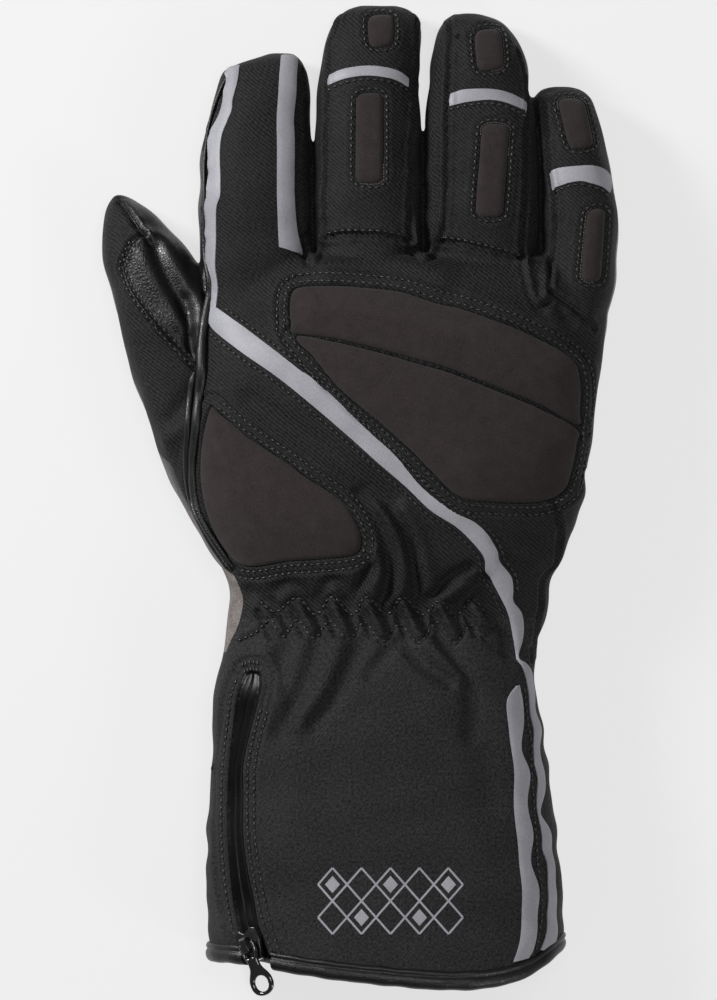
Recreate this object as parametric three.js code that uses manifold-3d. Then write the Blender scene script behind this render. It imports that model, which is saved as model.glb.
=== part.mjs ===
import * as THREE from 'three';
import { mergeVertices } from 'three/addons/utils/BufferGeometryUtils.js';
import Module from 'manifold-3d';

// A padded textile riding glove with a long cuff, for the right hand. It lies palm down:
// +Y points to the fingertips, -X to the thumb and +Z out of the back of the hand.
// The hand, the fingers, the thumb and the cuff are hollow walls of padded cloth, sewn from
// a back and a palm side. Pads, stripes and patches are sewn on top of them.

const wasm = await Module();
wasm.setup();

// Sizes of the hand, the wrist and the cuff, in millimetres
const HAND_LENGTH = 114;     // wrist gather to the forks of the fingers
const HAND_WIDTH = 128;      // across the knuckles
const HAND_HEIGHT = 45;      // palm to the back of the hand
const WRIST_WIDTH = 98.5;
const WRIST_HEIGHT = 41;
const CUFF_LENGTH = 114;     // wrist gather to the hem
const CUFF_WIDTH = 111;
const CUFF_HEIGHT = 50;

// Sizes of the fingers, each with its own length and width
const FINGER_HEIGHT = 27;
const INDEX = { length: 64.5, width: 34.5 };
const MIDDLE = { length: 74.5, width: 33.2 };
const RING = { length: 73, width: 36 };
const LITTLE = { length: 65.5, width: 24 };
const THUMB_LENGTH = 110;    // from its root inside the palm to its tip
const THUMB_WIDTH = 28;
const THUMB_HEIGHT = 28;
const THUMB_LEAN = 23.5;     // degrees between the thumb and the hand

// Walls, trim and clearances
const WALL = 3.4;            // outer cloth, padding and lining together
const GAP = 0.3;             // between pieces that are sewn together
const WIDE_SEAM = 0.36;      // the same, across a slanted cut
const BINDING_WIDTH = 4.6;   // leather bound round the hem
const BINDING_PROUD = 0.8;
const STRIPE_WIDTH = 6.4;    // the widest stretch of the reflective stripes
const STRIPE_THICK = 0.7;
const PAD_THICK = 1.3;       // brushed cloth of the knuckle and finger pads
const PAD_RISE = 2.6;        // foam under the large pads
const PATCH_THICK = 0.9;
const PIPING_RADIUS = 2.1;   // rolled leather edge along the thumb side
const RIB_HEIGHT = 1.5;      // puckers of the elastic wrist
const TAB_LENGTH = 4.2;
const TAB_WIDTH = 2.4;
const TAPE_SUNK = 0.5;       // zip tape, below the cloth beside it

// Zip slider and its pull
const SLIDER_WIDTH = 8.2;
const SLIDER_LENGTH = 10.4;
const SLIDER_THICK = 2.2;
const BRIDGE_WIDTH = 2.2;
const BRIDGE_THICK = 0.9;
const BAR_SIZE = 1.4;        // square bar of the pull under the bridge, and its thickness
const BAR_ROOM = 0.5;        // clear space round the turning bar
const PULL_LENGTH = 18;
const PULL_WIDTH = 6.6;
const PULL_HOLE = 1.5;       // radius
const SLIDER_TURN = 22;      // degrees, the zip's end turns towards the middle of the cuff
const PULL_DROOP = 5;        // degrees, the pull's free end hangs a little below its slider

const DEGREE = Math.PI / 180;
const FAR = 3 * (HAND_LENGTH + CUFF_LENGTH);

// Where each section takes its sizes from
const cuff = { length: CUFF_LENGTH, width: CUFF_WIDTH, height: CUFF_HEIGHT };
const wrist = { length: HAND_LENGTH, width: WRIST_WIDTH, height: WRIST_HEIGHT };
const hand = { length: HAND_LENGTH, width: HAND_WIDTH, height: HAND_HEIGHT };

// Sections of the hand and the cuff. along is a share of the length, from the wrist gather.
// left and right are shares of the width, from the axis. top, side and bottom are shares of
// the height, side being that of the widest point.
const BODY = [
  { of: cuff, along: -1.06, left: 0.507, right: 0.468, top: 1.01, side: 0.45, bottom: -0.02 },
  { of: cuff, along: -0.94, left: 0.509, right: 0.471, top: 1.00, side: 0.45, bottom: -0.02 },
  { of: cuff, along: -0.84, left: 0.514, right: 0.479, top: 0.98, side: 0.45, bottom: -0.02 },
  { of: cuff, along: -0.73, left: 0.518, right: 0.475, top: 0.97, side: 0.45, bottom: -0.02 },
  { of: cuff, along: -0.61, left: 0.520, right: 0.465, top: 0.96, side: 0.45, bottom: -0.02 },
  { of: cuff, along: -0.47, left: 0.508, right: 0.445, top: 0.95, side: 0.45, bottom: -0.02 },
  { of: cuff, along: -0.33, left: 0.501, right: 0.427, top: 0.94, side: 0.46, bottom: -0.02 },
  { of: cuff, along: -0.20, left: 0.500, right: 0.404, top: 0.92, side: 0.46, bottom: -0.02 },
  { of: cuff, along: -0.11, left: 0.475, right: 0.399, top: 0.87, side: 0.46, bottom: -0.02 },
  { of: wrist, along: 0.00, left: 0.520, right: 0.485, top: 0.98, side: 0.50, bottom: 0.02 },
  { of: wrist, along: 0.08, left: 0.512, right: 0.498, top: 1.00, side: 0.52, bottom: 0.02 },
  { of: hand, along: 0.16, left: 0.426, right: 0.409, top: 0.95, side: 0.50, bottom: -0.02 },
  { of: hand, along: 0.27, left: 0.472, right: 0.452, top: 0.99, side: 0.52, bottom: -0.02 },
  { of: hand, along: 0.43, left: 0.490, right: 0.478, top: 1.00, side: 0.54, bottom: -0.02 },
  { of: hand, along: 0.59, left: 0.485, right: 0.497, top: 1.00, side: 0.54, bottom: -0.02 },
  { of: hand, along: 0.73, left: 0.471, right: 0.515, top: 0.98, side: 0.52, bottom: -0.01 },
  { of: hand, along: 0.84, left: 0.456, right: 0.522, top: 0.93, side: 0.48, bottom: 0.02 },
  { of: hand, along: 0.92, left: 0.450, right: 0.526, top: 0.86, side: 0.45, bottom: 0.06 },
  { of: hand, along: 0.97, left: 0.440, right: 0.520, top: 0.76, side: 0.42, bottom: 0.12 },
  { of: hand, along: 0.99, left: 0.400, right: 0.480, top: 0.62, side: 0.40, bottom: 0.22 },
];

// Outline of each finger from above. along runs from the fork to the tip, as a share of the
// length. left and right are shares of the width, from the finger's own axis.
const INDEX_OUTLINE = [
  { along: -0.33, left: 0.440, right: 0.460 },
  { along: 0.00, left: 0.500, right: 0.495 },
  { along: 0.20, left: 0.510, right: 0.495 },
  { along: 0.40, left: 0.510, right: 0.495 },
  { along: 0.58, left: 0.480, right: 0.495 },
  { along: 0.73, left: 0.425, right: 0.490 },
  { along: 0.83, left: 0.390, right: 0.475 },
  { along: 0.90, left: 0.335, right: 0.450 },
  { along: 0.95, left: 0.230, right: 0.420 },
  { along: 0.985, left: 0.090, right: 0.375 },
  { along: 1.00, left: -0.020, right: 0.310 },
];
const MIDDLE_OUTLINE = [
  { along: -0.31, left: 0.430, right: 0.460 },
  { along: 0.00, left: 0.470, right: 0.490 },
  { along: 0.18, left: 0.502, right: 0.490 },
  { along: 0.36, left: 0.500, right: 0.490 },
  { along: 0.52, left: 0.492, right: 0.490 },
  { along: 0.68, left: 0.465, right: 0.480 },
  { along: 0.77, left: 0.435, right: 0.490 },
  { along: 0.85, left: 0.390, right: 0.500 },
  { along: 0.92, left: 0.325, right: 0.480 },
  { along: 0.96, left: 0.255, right: 0.435 },
  { along: 0.985, left: 0.180, right: 0.370 },
  { along: 1.00, left: 0.075, right: 0.260 },
];
const RING_OUTLINE = [
  { along: -0.34, left: 0.430, right: 0.480 },
  { along: 0.00, left: 0.490, right: 0.500 },
  { along: 0.21, left: 0.503, right: 0.495 },
  { along: 0.42, left: 0.500, right: 0.485 },
  { along: 0.55, left: 0.490, right: 0.450 },
  { along: 0.64, left: 0.480, right: 0.415 },
  { along: 0.72, left: 0.460, right: 0.405 },
  { along: 0.80, left: 0.445, right: 0.375 },
  { along: 0.89, left: 0.405, right: 0.310 },
  { along: 0.945, left: 0.355, right: 0.225 },
  { along: 0.975, left: 0.300, right: 0.130 },
  { along: 1.00, left: 0.220, right: -0.050 },
];
const LITTLE_OUTLINE = [
  { along: -0.23, left: 0.370, right: 0.380 },
  { along: 0.00, left: 0.460, right: 0.460 },
  { along: 0.22, left: 0.485, right: 0.495 },
  { along: 0.38, left: 0.490, right: 0.505 },
  { along: 0.55, left: 0.505, right: 0.440 },
  { along: 0.70, left: 0.555, right: 0.355 },
  { along: 0.82, left: 0.595, right: 0.285 },
  { along: 0.89, left: 0.605, right: 0.220 },
  { along: 0.945, left: 0.580, right: 0.155 },
  { along: 0.985, left: 0.490, right: 0.040 },
  { along: 1.00, left: 0.350, right: -0.110 },
];

// The fingers arch over the floor and curl down to it. Heights are shares of FINGER_HEIGHT.
const CURL = [
  { along: -0.34, bottom: 0.06, side: 0.66, top: 1.30 },
  { along: 0.00, bottom: 0.10, side: 0.66, top: 1.26 },
  { along: 0.20, bottom: 0.15, side: 0.66, top: 1.25 },
  { along: 0.42, bottom: 0.16, side: 0.64, top: 1.19 },
  { along: 0.58, bottom: 0.11, side: 0.58, top: 1.10 },
  { along: 0.72, bottom: 0.03, side: 0.49, top: 1.01 },
  { along: 0.83, bottom: -0.02, side: 0.42, top: 0.92 },
  { along: 0.90, bottom: -0.02, side: 0.39, top: 0.83 },
  { along: 0.95, bottom: 0.01, side: 0.37, top: 0.72 },
  { along: 0.985, bottom: 0.08, side: 0.36, top: 0.58 },
  { along: 1.00, bottom: 0.18, side: 0.36, top: 0.48 },
];

// Sections of the thumb along its own axis, in shares of its length, width and height
const THUMB = [
  { along: -0.12, left: 0.56, right: 0.30, top: 0.95, side: 0.45, bottom: 0.10 },
  { along: -0.05, left: 0.66, right: 0.36, top: 1.04, side: 0.46, bottom: 0.02 },
  { along: 0.08, left: 0.735, right: 0.44, top: 1.10, side: 0.47, bottom: -0.02 },
  { along: 0.20, left: 0.768, right: 0.50, top: 1.12, side: 0.48, bottom: -0.02 },
  { along: 0.36, left: 0.730, right: 0.52, top: 1.10, side: 0.48, bottom: -0.02 },
  { along: 0.50, left: 0.690, right: 0.52, top: 1.07, side: 0.48, bottom: 0.02 },
  { along: 0.65, left: 0.600, right: 0.51, top: 1.04, side: 0.47, bottom: 0.02 },
  { along: 0.78, left: 0.515, right: 0.44, top: 0.98, side: 0.44, bottom: -0.02 },
  { along: 0.86, left: 0.460, right: 0.32, top: 0.88, side: 0.40, bottom: -0.02 },
  { along: 0.93, left: 0.340, right: 0.21, top: 0.74, side: 0.37, bottom: 0.03 },
  { along: 0.975, left: 0.220, right: 0.09, top: 0.58, side: 0.35, bottom: 0.11 },
  { along: 1.00, left: 0.080, right: -0.03, top: 0.46, side: 0.34, bottom: 0.20 },
];

// Creases and swells of the back. Ends are given across and along the body; height is in
// millimetres, below zero for a crease, and width is how far it spreads to each side.
const FOLDS = [
  { from: [-0.95, 0.02], to: [0.95, 0.02], height: -1.6, width: 5 },
  { from: [-0.42, -0.12], to: [-0.56, -0.24], height: -1.6, width: 5 },
  { from: [0.05, -0.06], to: [-0.05, -0.15], height: -1.4, width: 4 },
  { from: [0.32, -0.05], to: [0.55, -0.24], height: -1.8, width: 5 },
  { from: [-0.20, 0.40], to: [0.04, 0.26], height: -1.5, width: 5 },
  { from: [-0.10, 0.32], to: [0.02, 0.10], height: -1.5, width: 4 },
  { from: [-0.76, -0.30], to: [-0.74, -0.95], height: -1.2, width: 6 },
  { from: [-0.20, -0.72], to: [0.50, -0.66], height: 1.4, width: 22 },
  { from: [0.70, 0.10], to: [0.92, 0.30], height: -1.4, width: 6 },
];

// Small helpers for tables

const mix = (a, b, t) => a + (b - a) * t;
const smooth = (t) => t * t * (3 - 2 * t);
const clamp01 = (t) => Math.min(Math.max(t, 0), 1);

// One value of a table between its rows, on a curve through them
function curved(rows, key, place) {
  const last = rows.length - 1;
  const i = Math.min(Math.floor(place), last - 1);
  const t = place - i;
  const [a, b, c, d] = [i - 1, i, i + 1, i + 2].map((k) => rows[Math.min(Math.max(k, 0), last)][key]);
  const bend = (3 * (b - c) + d - a) * t + (2 * a - 5 * b + 4 * c - d);
  return b + 0.5 * t * (c - a + t * bend);
}

// Where a value of a rising column lies, counted in rows
function placeOf(rows, key, value) {
  let low = 0;
  let high = rows.length - 1;
  for (let turn = 0; turn < 40; turn++) {
    const half = (low + high) / 2;
    if (curved(rows, key, half) < value) low = half;
    else high = half;
  }
  return (low + high) / 2;
}

function section(rows, place) {
  const out = {};
  for (const key of ['y', 'left', 'right', 'top', 'side', 'bottom']) out[key] = curved(rows, key, place);
  return out;
}

// Sections in millimetres

const bodyRows = BODY.map((row) => ({
  y: row.along * row.of.length,
  left: -row.left * row.of.width,
  right: row.right * row.of.width,
  top: row.top * row.of.height,
  side: row.side * row.of.height,
  bottom: row.bottom * row.of.height,
}));

// A finger stands on the hand: its axis lies across and its fork along the hand
function fingerRows(size, outline, across, fork) {
  return outline.map((row) => {
    const place = placeOf(CURL, 'along', row.along);
    return {
      y: fork * HAND_LENGTH + row.along * size.length,
      left: across * HAND_WIDTH - row.left * size.width,
      right: across * HAND_WIDTH + row.right * size.width,
      top: curved(CURL, 'top', place) * FINGER_HEIGHT,
      side: curved(CURL, 'side', place) * FINGER_HEIGHT,
      bottom: curved(CURL, 'bottom', place) * FINGER_HEIGHT,
    };
  });
}

const fingers = {
  index: { size: INDEX, rows: fingerRows(INDEX, INDEX_OUTLINE, -0.330, 0.970) },
  middle: { size: MIDDLE, rows: fingerRows(MIDDLE, MIDDLE_OUTLINE, -0.058, 1.015) },
  ring: { size: RING, rows: fingerRows(RING, RING_OUTLINE, 0.220, 1.005) },
  little: { size: LITTLE, rows: fingerRows(LITTLE, LITTLE_OUTLINE, 0.454, 0.875) },
};

const thumbRows = THUMB.map((row) => ({
  y: row.along * THUMB_LENGTH,
  left: -row.left * THUMB_WIDTH,
  right: row.right * THUMB_WIDTH,
  top: row.top * THUMB_HEIGHT,
  side: row.side * THUMB_HEIGHT,
  bottom: row.bottom * THUMB_HEIGHT,
}));
const thumbPlace = new THREE.Matrix4()
  .makeRotationZ(THUMB_LEAN * DEGREE)
  .setPosition(-0.315 * HAND_WIDTH, 0.267 * HAND_LENGTH, 0);

// From shares to millimetres: across is -1 and 1 at the two sides of the body or finger
function onBody([across, along]) {
  const y = along * (along < 0 ? CUFF_LENGTH : HAND_LENGTH);
  const here = section(bodyRows, placeOf(bodyRows, 'y', y));
  return [mix(here.left, here.right, (across + 1) / 2), y];
}

function onFinger(finger, [across, along]) {
  const y = finger.rows[1].y + along * finger.size.length;
  const here = section(finger.rows, placeOf(finger.rows, 'y', y));
  return [mix(here.left, here.right, (across + 1) / 2), y];
}

function onThumb([across, along]) {
  const at = new THREE.Vector3(across * THUMB_WIDTH, along * THUMB_LENGTH, 0).applyMatrix4(thumbPlace);
  return [at.x, at.y];
}

// Height of the body's back above a point, and its slope across
const TOP_ROUND = 2.35;
const BOTTOM_ROUND = 3.4;
function backHeight(x, y) {
  const here = section(bodyRows, placeOf(bodyRows, 'y', y));
  const half = (here.right - here.left) / 2;
  const share = Math.min(Math.abs(x - (here.left + here.right) / 2) / half, 1);
  return here.side + (here.top - here.side) * (1 - share ** TOP_ROUND) ** (1 / TOP_ROUND);
}

const foldLines = FOLDS.map((fold) => ({ ...fold, a: onBody(fold.from), b: onBody(fold.to) }));
function relief(x, y) {
  let sum = 0;
  for (const { a, b, height, width } of foldLines) {
    const [dx, dy] = [b[0] - a[0], b[1] - a[1]];
    const along = clamp01(((x - a[0]) * dx + (y - a[1]) * dy) / (dx * dx + dy * dy));
    const away = Math.hypot(x - a[0] - along * dx, y - a[1] - along * dy) / width;
    sum += height * Math.exp(-away * away);
  }
  return sum;
}

// Solids

function solidOf(geometry) {
  geometry.deleteAttribute('normal');
  geometry.deleteAttribute('uv');
  const merged = mergeVertices(geometry, 1e-4);
  const vertProperties = new Float32Array(merged.attributes.position.array);
  const triVerts = new Uint32Array(merged.index.array);
  return new wasm.Manifold(new wasm.Mesh({ numProp: 3, vertProperties, triVerts }));
}

function geometryOf(solid) {
  const mesh = solid.getMesh();
  const geometry = new THREE.BufferGeometry();
  const corners = new Float32Array(mesh.numVert * 3);
  for (let i = 0; i < mesh.numVert; i++) {
    for (let k = 0; k < 3; k++) corners[3 * i + k] = mesh.vertProperties[i * mesh.numProp + k];
  }
  geometry.setAttribute('position', new THREE.BufferAttribute(corners, 3));
  geometry.setIndex(new THREE.BufferAttribute(new Uint32Array(mesh.triVerts), 1));
  return geometry;
}

// Closes a stack of rings that have the same number of points
function stack(rings) {
  const count = rings[0].length;
  const corners = rings.flat();
  const faces = [];
  for (let i = 0; i + 1 < rings.length; i++) {
    for (let j = 0; j < count; j++) {
      const [a, b] = [i * count + j, i * count + ((j + 1) % count)];
      faces.push(a, a + count, b, b, a + count, b + count);
    }
  }
  for (const [ring, turn] of [[0, 1], [rings.length - 1, -1]]) {
    const centre = corners.length;
    const middle = new THREE.Vector3();
    rings[ring].forEach((point) => middle.addScaledVector(point, 1 / count));
    corners.push(middle);
    for (let j = 0; j < count; j++) {
      const [a, b] = [ring * count + j, ring * count + ((j + 1) % count)];
      faces.push(...(turn > 0 ? [centre, a, b] : [centre, b, a]));
    }
  }
  const geometry = new THREE.BufferGeometry().setFromPoints(corners);
  geometry.setIndex(faces);
  return solidOf(geometry);
}

// Angles round a section: more of them over the back than under the palm
function angles(above, below) {
  const list = [];
  for (let i = 0; i < above; i++) list.push((Math.PI * i) / above);
  for (let i = 0; i < below; i++) list.push(Math.PI + (Math.PI * i) / below);
  return list;
}

// Lofts sections into a solid. grow moves the whole surface out; it may be a function.
function loft(rows, places, turns, grow, place = new THREE.Matrix4()) {
  const rings = places.map((at) => {
    const here = section(rows, at);
    const middle = (here.left + here.right) / 2;
    const half = (here.right - here.left) / 2;
    return turns.map((turn) => {
      const up = Math.sin(turn) > 0;
      const power = 2 / (up ? TOP_ROUND : BOTTOM_ROUND);
      const wide = Math.sign(Math.cos(turn)) * Math.abs(Math.cos(turn)) ** power;
      const tall = Math.sign(Math.sin(turn)) * Math.abs(Math.sin(turn)) ** power;
      const more = typeof grow === 'function' ? grow(middle + half * wide, here.y, up) : grow;
      const rise = up ? here.top - here.side : here.side - here.bottom;
      const x = middle + Math.max(half + more, 0.4) * wide;
      const z = here.side + Math.max(rise + more, 0.4) * tall;
      return new THREE.Vector3(x, here.y, z).applyMatrix4(place);
    });
  });
  return stack(rings);
}

const steps = (from, to, count) => Array.from({ length: count + 1 }, (_, i) => mix(from, to, i / count));
const unite = (solids) => solids.reduce((sum, solid) => sum.add(solid));

// An upright solid over an outline seen from above
function prism(points, from = -FAR, to = FAR) {
  const shape = new THREE.Shape(points.map(([x, y]) => new THREE.Vector2(x, y)));
  const geometry = new THREE.ExtrudeGeometry(shape, { depth: to - from, bevelEnabled: false });
  return solidOf(geometry.translate(0, 0, from));
}

// Everything above a line of heights that runs along Y
function aboveLine(points) {
  const line = [[-FAR, points[0][1]], ...points, [FAR, points.at(-1)[1]]];
  const shape = new THREE.Shape([...line, [FAR, FAR], [-FAR, FAR]].map(([y, z]) => new THREE.Vector2(y, z)));
  const geometry = new THREE.ExtrudeGeometry(shape, { depth: 2 * FAR, bevelEnabled: false });
  const turn = new THREE.Matrix4().makeBasis(
    new THREE.Vector3(0, 1, 0), new THREE.Vector3(0, 0, 1), new THREE.Vector3(1, 0, 0));
  return solidOf(geometry.applyMatrix4(turn.setPosition(-FAR, 0, 0)));
}

// Moves an outline out by a distance, or in if it is below zero
function offset(points, distance) {
  const area = points.reduce((sum, [x, y], i) => {
    const [nx, ny] = points[(i + 1) % points.length];
    return sum + x * ny - nx * y;
  }, 0);
  const way = Math.sign(area) * distance;
  return points.map(([x, y], i) => {
    const before = points.at(i - 1);
    const after = points[(i + 1) % points.length];
    const one = new THREE.Vector2(x - before[0], y - before[1]).normalize();
    const two = new THREE.Vector2(after[0] - x, after[1] - y).normalize();
    const out = new THREE.Vector2(one.y + two.y, -one.x - two.x).normalize();
    const spread = Math.max(out.x * one.y - out.y * one.x, 0.5);
    return [x + (out.x * way) / spread, y + (out.y * way) / spread];
  });
}

// An outline on a curve through a few points
function rounded(points, count) {
  const curve = new THREE.CatmullRomCurve3(points.map(([x, y]) => new THREE.Vector3(x, y, 0)), true);
  return curve.getPoints(count).slice(0, -1).map((point) => [point.x, point.y]);
}

// A band along a path: rows of across, along and half width as a share of STRIPE_WIDTH
function ribbon(rows, place, count) {
  const path = rows.map(({ across, along, wide }) => [...place([across, along]), wide * STRIPE_WIDTH / 2]);
  const curve = new THREE.CatmullRomCurve3(path.map((point) => new THREE.Vector3(...point)));
  const [left, right] = [[], []];
  for (const t of steps(0, 1, count)) {
    const at = curve.getPoint(t);
    const way = curve.getTangent(t).setZ(0).normalize();
    left.push([at.x - way.y * at.z, at.y + way.x * at.z]);
    right.unshift([at.x + way.y * at.z, at.y - way.x * at.z]);
  }
  return [...left, ...right];
}

// Only the largest body of a cut, without the crumbs beside it
function largest(solid) {
  return solid.decompose().sort((a, b) => b.volume() - a.volume())[0];
}

// Cut outlines from above

// The hem bows out over the back: across, and along as a share of the cuff
const HEM = [[-1.00, -0.930], [-0.80, -0.934], [-0.60, -0.951], [-0.30, -0.972], [0.08, -0.991],
  [0.35, -1.000], [0.60, -0.996], [0.80, -0.972], [0.90, -0.942], [1.00, -0.900]];
function pastHem(inwards) {
  const line = HEM.map((point) => onBody(point)).map(([x, y]) => [x, y + inwards]);
  return [[-FAR, line[0][1]], ...line, [FAR, line.at(-1)[1]], [FAR, -FAR], [-FAR, -FAR]];
}

// Lines that part the fingers from each other: across and along as shares of the hand
const fork = (across, along) => [across * HAND_WIDTH, along * HAND_LENGTH];
const FORKS = {
  thumb: [fork(-0.470, 0.970), fork(-0.470, 1.20)],
  index: [fork(-0.193, 0.970), fork(-0.190, 2)],
  middle: [fork(0.076, 1.010), fork(0.074, 2)],
  ring: [fork(0.366, 0.895), fork(0.361, 1.13), fork(0.340, 1.40), fork(0.340, 2)],
};
const INDEX_SEAM = [fork(-0.47, 0.970), fork(-0.193, 0.970)];
const MIDDLE_SEAM = [fork(-0.193, 1.035), fork(-0.157, 1.038), fork(-0.048, 1.046), fork(0.039, 1.030), fork(0.076, 1.016)];
const RING_SEAM = [fork(0.076, 1.030), fork(0.121, 1.027), fork(0.228, 1.005), fork(0.317, 0.978), fork(0.366, 0.953)];
const LITTLE_SEAM = [fork(0.366, 0.902), fork(0.380, 0.891), fork(0.470, 0.815), fork(0.560, 0.760)];
const regions = {
  index: [...INDEX_SEAM, FORKS.index[1], [FORKS.thumb[1][0], FORKS.index[1][1]]],
  middle: [...MIDDLE_SEAM, FORKS.middle[1], FORKS.index[1]],
  ring: [...RING_SEAM, ...FORKS.ring.slice(1), FORKS.middle[1]],
  little: [...LITTLE_SEAM, [FAR, LITTLE_SEAM.at(-1)[1]], [FAR, FAR], FORKS.ring[3], FORKS.ring[2], FORKS.ring[1]],
};

// The thumb is all that stands out past the hand's own side: along, and out from that side
const THUMB_LINE = [[-0.02, 0.006], [0.08, 0.004], [0.16, 0.003], [0.27, 0.003], [0.43, 0.003],
  [0.59, 0.003], [0.73, 0.003], [0.84, 0.004], [0.92, 0.008]];
const thumbSide = THUMB_LINE.map(([along, out]) => {
  const [x, y] = onBody([-1, along]);
  return [x - out * HAND_WIDTH, y];
});
regions.thumb = [[-FAR, thumbSide[0][1]], ...thumbSide, ...FORKS.thumb, [-FAR, FORKS.thumb[1][1]]];

const GATHER = [[-0.72, -0.072], [-0.60, 0.030], [-0.52, 0.078], [0.00, 0.086], [0.60, 0.072],
  [0.68, 0.000], [0.70, -0.076], [0.00, -0.086]].map(onBody);
const ZIP = [[-0.775, -0.150], [-0.845, -0.210], [-0.895, -0.330], [-0.897, -0.470], [-0.880, -0.640],
  [-0.866, -0.770], [-0.830, -0.880], [-0.790, -1.040], [-0.655, -1.040], [-0.725, -0.860],
  [-0.770, -0.720], [-0.806, -0.560], [-0.808, -0.420], [-0.775, -0.300], [-0.718, -0.225],
  [-0.712, -0.180], [-0.740, -0.150]].map(onBody);

const KNUCKLE_UPPER = [[-0.585, 0.865], [-0.575, 0.893], [-0.525, 0.906], [-0.210, 0.905], [0.125, 0.860],
  [0.490, 0.800], [0.775, 0.738], [0.885, 0.700], [0.935, 0.650], [0.960, 0.580], [0.960, 0.522],
  [0.600, 0.613], [0.221, 0.686], [-0.122, 0.740], [-0.342, 0.766], [-0.575, 0.782]].map(onBody);
const KNUCKLE_LOWER = [[-0.540, 0.768], [-0.342, 0.757], [-0.122, 0.731], [0.221, 0.677], [0.600, 0.604],
  [0.958, 0.512], [0.955, 0.440], [0.945, 0.370], [0.920, 0.330], [0.845, 0.317], [0.620, 0.311],
  [0.390, 0.328], [0.300, 0.356], [0.133, 0.456], [-0.056, 0.543], [-0.370, 0.680], [-0.500, 0.744]].map(onBody);
const THUMB_PAD = [[-0.915, 0.575], [-0.948, 0.485], [-0.962, 0.400], [-0.960, 0.340], [-0.940, 0.264],
  [-0.922, 0.191], [-0.880, 0.142], [-0.760, 0.137], [-0.501, 0.156], [-0.233, 0.163], [-0.159, 0.180],
  [-0.141, 0.240], [-0.214, 0.305], [-0.333, 0.357], [-0.474, 0.412], [-0.675, 0.488], [-0.851, 0.562]].map(onBody);

const LONG_STRIPE = [
  { across: -0.965, along: 0.840, wide: 0.55 }, { across: -0.655, along: 0.705, wide: 0.95 },
  { across: -0.385, along: 0.605, wide: 1.00 }, { across: -0.150, along: 0.500, wide: 0.85 },
  { across: 0.020, along: 0.415, wide: 0.75 }, { across: 0.150, along: 0.345, wide: 0.75 },
  { across: 0.315, along: 0.285, wide: 0.65 }, { across: 0.435, along: 0.250, wide: 0.75 },
  { across: 0.525, along: 0.210, wide: 0.80 }, { across: 0.590, along: 0.165, wide: 0.75 },
  { across: 0.700, along: 0.090, wide: 0.75 }, { across: 0.765, along: 0.040, wide: 0.60 },
  { across: 0.850, along: -0.040, wide: 0.50 }, { across: 0.890, along: -0.105, wide: 0.30 },
  { across: 0.940, along: -0.155, wide: 0.45 }, { across: 0.960, along: -0.230, wide: 0.35 },
  { across: 0.952, along: -0.325, wide: 0.35 }, { across: 0.942, along: -0.460, wide: 0.35 },
  { across: 0.925, along: -0.540, wide: 0.25 }, { across: 0.935, along: -0.600, wide: 0.40 },
  { across: 0.945, along: -0.700, wide: 0.35 }, { across: 0.940, along: -0.820, wide: 0.40 },
  { across: 0.920, along: -1.000, wide: 0.60 },
];
const CUFF_STRIPE = [
  { across: 0.880, along: -0.180, wide: 0.12 }, { across: 0.855, along: -0.225, wide: 0.75 },
  { across: 0.830, along: -0.320, wide: 0.70 }, { across: 0.815, along: -0.375, wide: 0.55 },
  { across: 0.830, along: -0.430, wide: 0.70 }, { across: 0.805, along: -0.520, wide: 0.60 },
  { across: 0.810, along: -0.620, wide: 0.65 }, { across: 0.805, along: -0.730, wide: 0.75 },
  { across: 0.810, along: -0.825, wide: 0.75 }, { across: 0.795, along: -1.000, wide: 0.65 },
];
const INDEX_STRIPES = {
  index_stripe_outer: [
    { across: -0.860, along: 0.905, wide: 0.70 }, { across: -0.715, along: 0.775, wide: 0.65 },
    { across: -0.735, along: 0.670, wide: 0.55 }, { across: -0.805, along: 0.535, wide: 0.75 },
    { across: -0.770, along: 0.370, wide: 0.70 }, { across: -0.795, along: 0.250, wide: 0.55 },
    { across: -0.820, along: 0.010, wide: 0.50 },
  ],
  index_stripe_inner: [
    { across: 0.650, along: 0.960, wide: 0.72 }, { across: 0.505, along: 0.730, wide: 0.80 },
    { across: 0.535, along: 0.295, wide: 0.80 }, { across: 0.610, along: 0.060, wide: 0.90 },
  ],
};
// Bands across the middle, ring and little fingers, just short of the last joint
const BANDS = {
  middle: [{ across: -0.82, along: 0.675, wide: 0.40 }, { across: -0.04, along: 0.725, wide: 0.52 },
    { across: 0.77, along: 0.678, wide: 0.52 }],
  ring: [{ across: -0.56, along: 0.635, wide: 0.55 }, { across: 0.19, along: 0.660, wide: 0.55 },
    { across: 0.88, along: 0.600, wide: 0.48 }],
  little: [{ across: -0.68, along: 0.553, wide: 0.75 }, { across: 0.13, along: 0.585, wide: 0.70 },
    { across: 0.92, along: 0.535, wide: 0.78 }],
};
// Pads on the fingers: the ends of each pad, and its half width as a share of STRIPE_WIDTH
const TIP_PADS = {
  middle: { from: [0.135, 0.835], to: [0.150, 0.945], wide: 1.30 },
  ring: { from: [0.285, 0.785], to: [0.210, 0.920], wide: 1.25 },
  little: { from: [0.255, 0.735], to: [0.340, 0.925], wide: 1.45 },
};
const KNUCKLE_PADS = {
  middle: { from: [0.030, 0.275], to: [0.015, 0.610], wide: 1.28 },
  ring: { from: [0.135, 0.160], to: [0.260, 0.515], wide: 1.25 },
  little: { from: [0.285, 0.085], to: [0.450, 0.405], wide: 0.95 },
};

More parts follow.
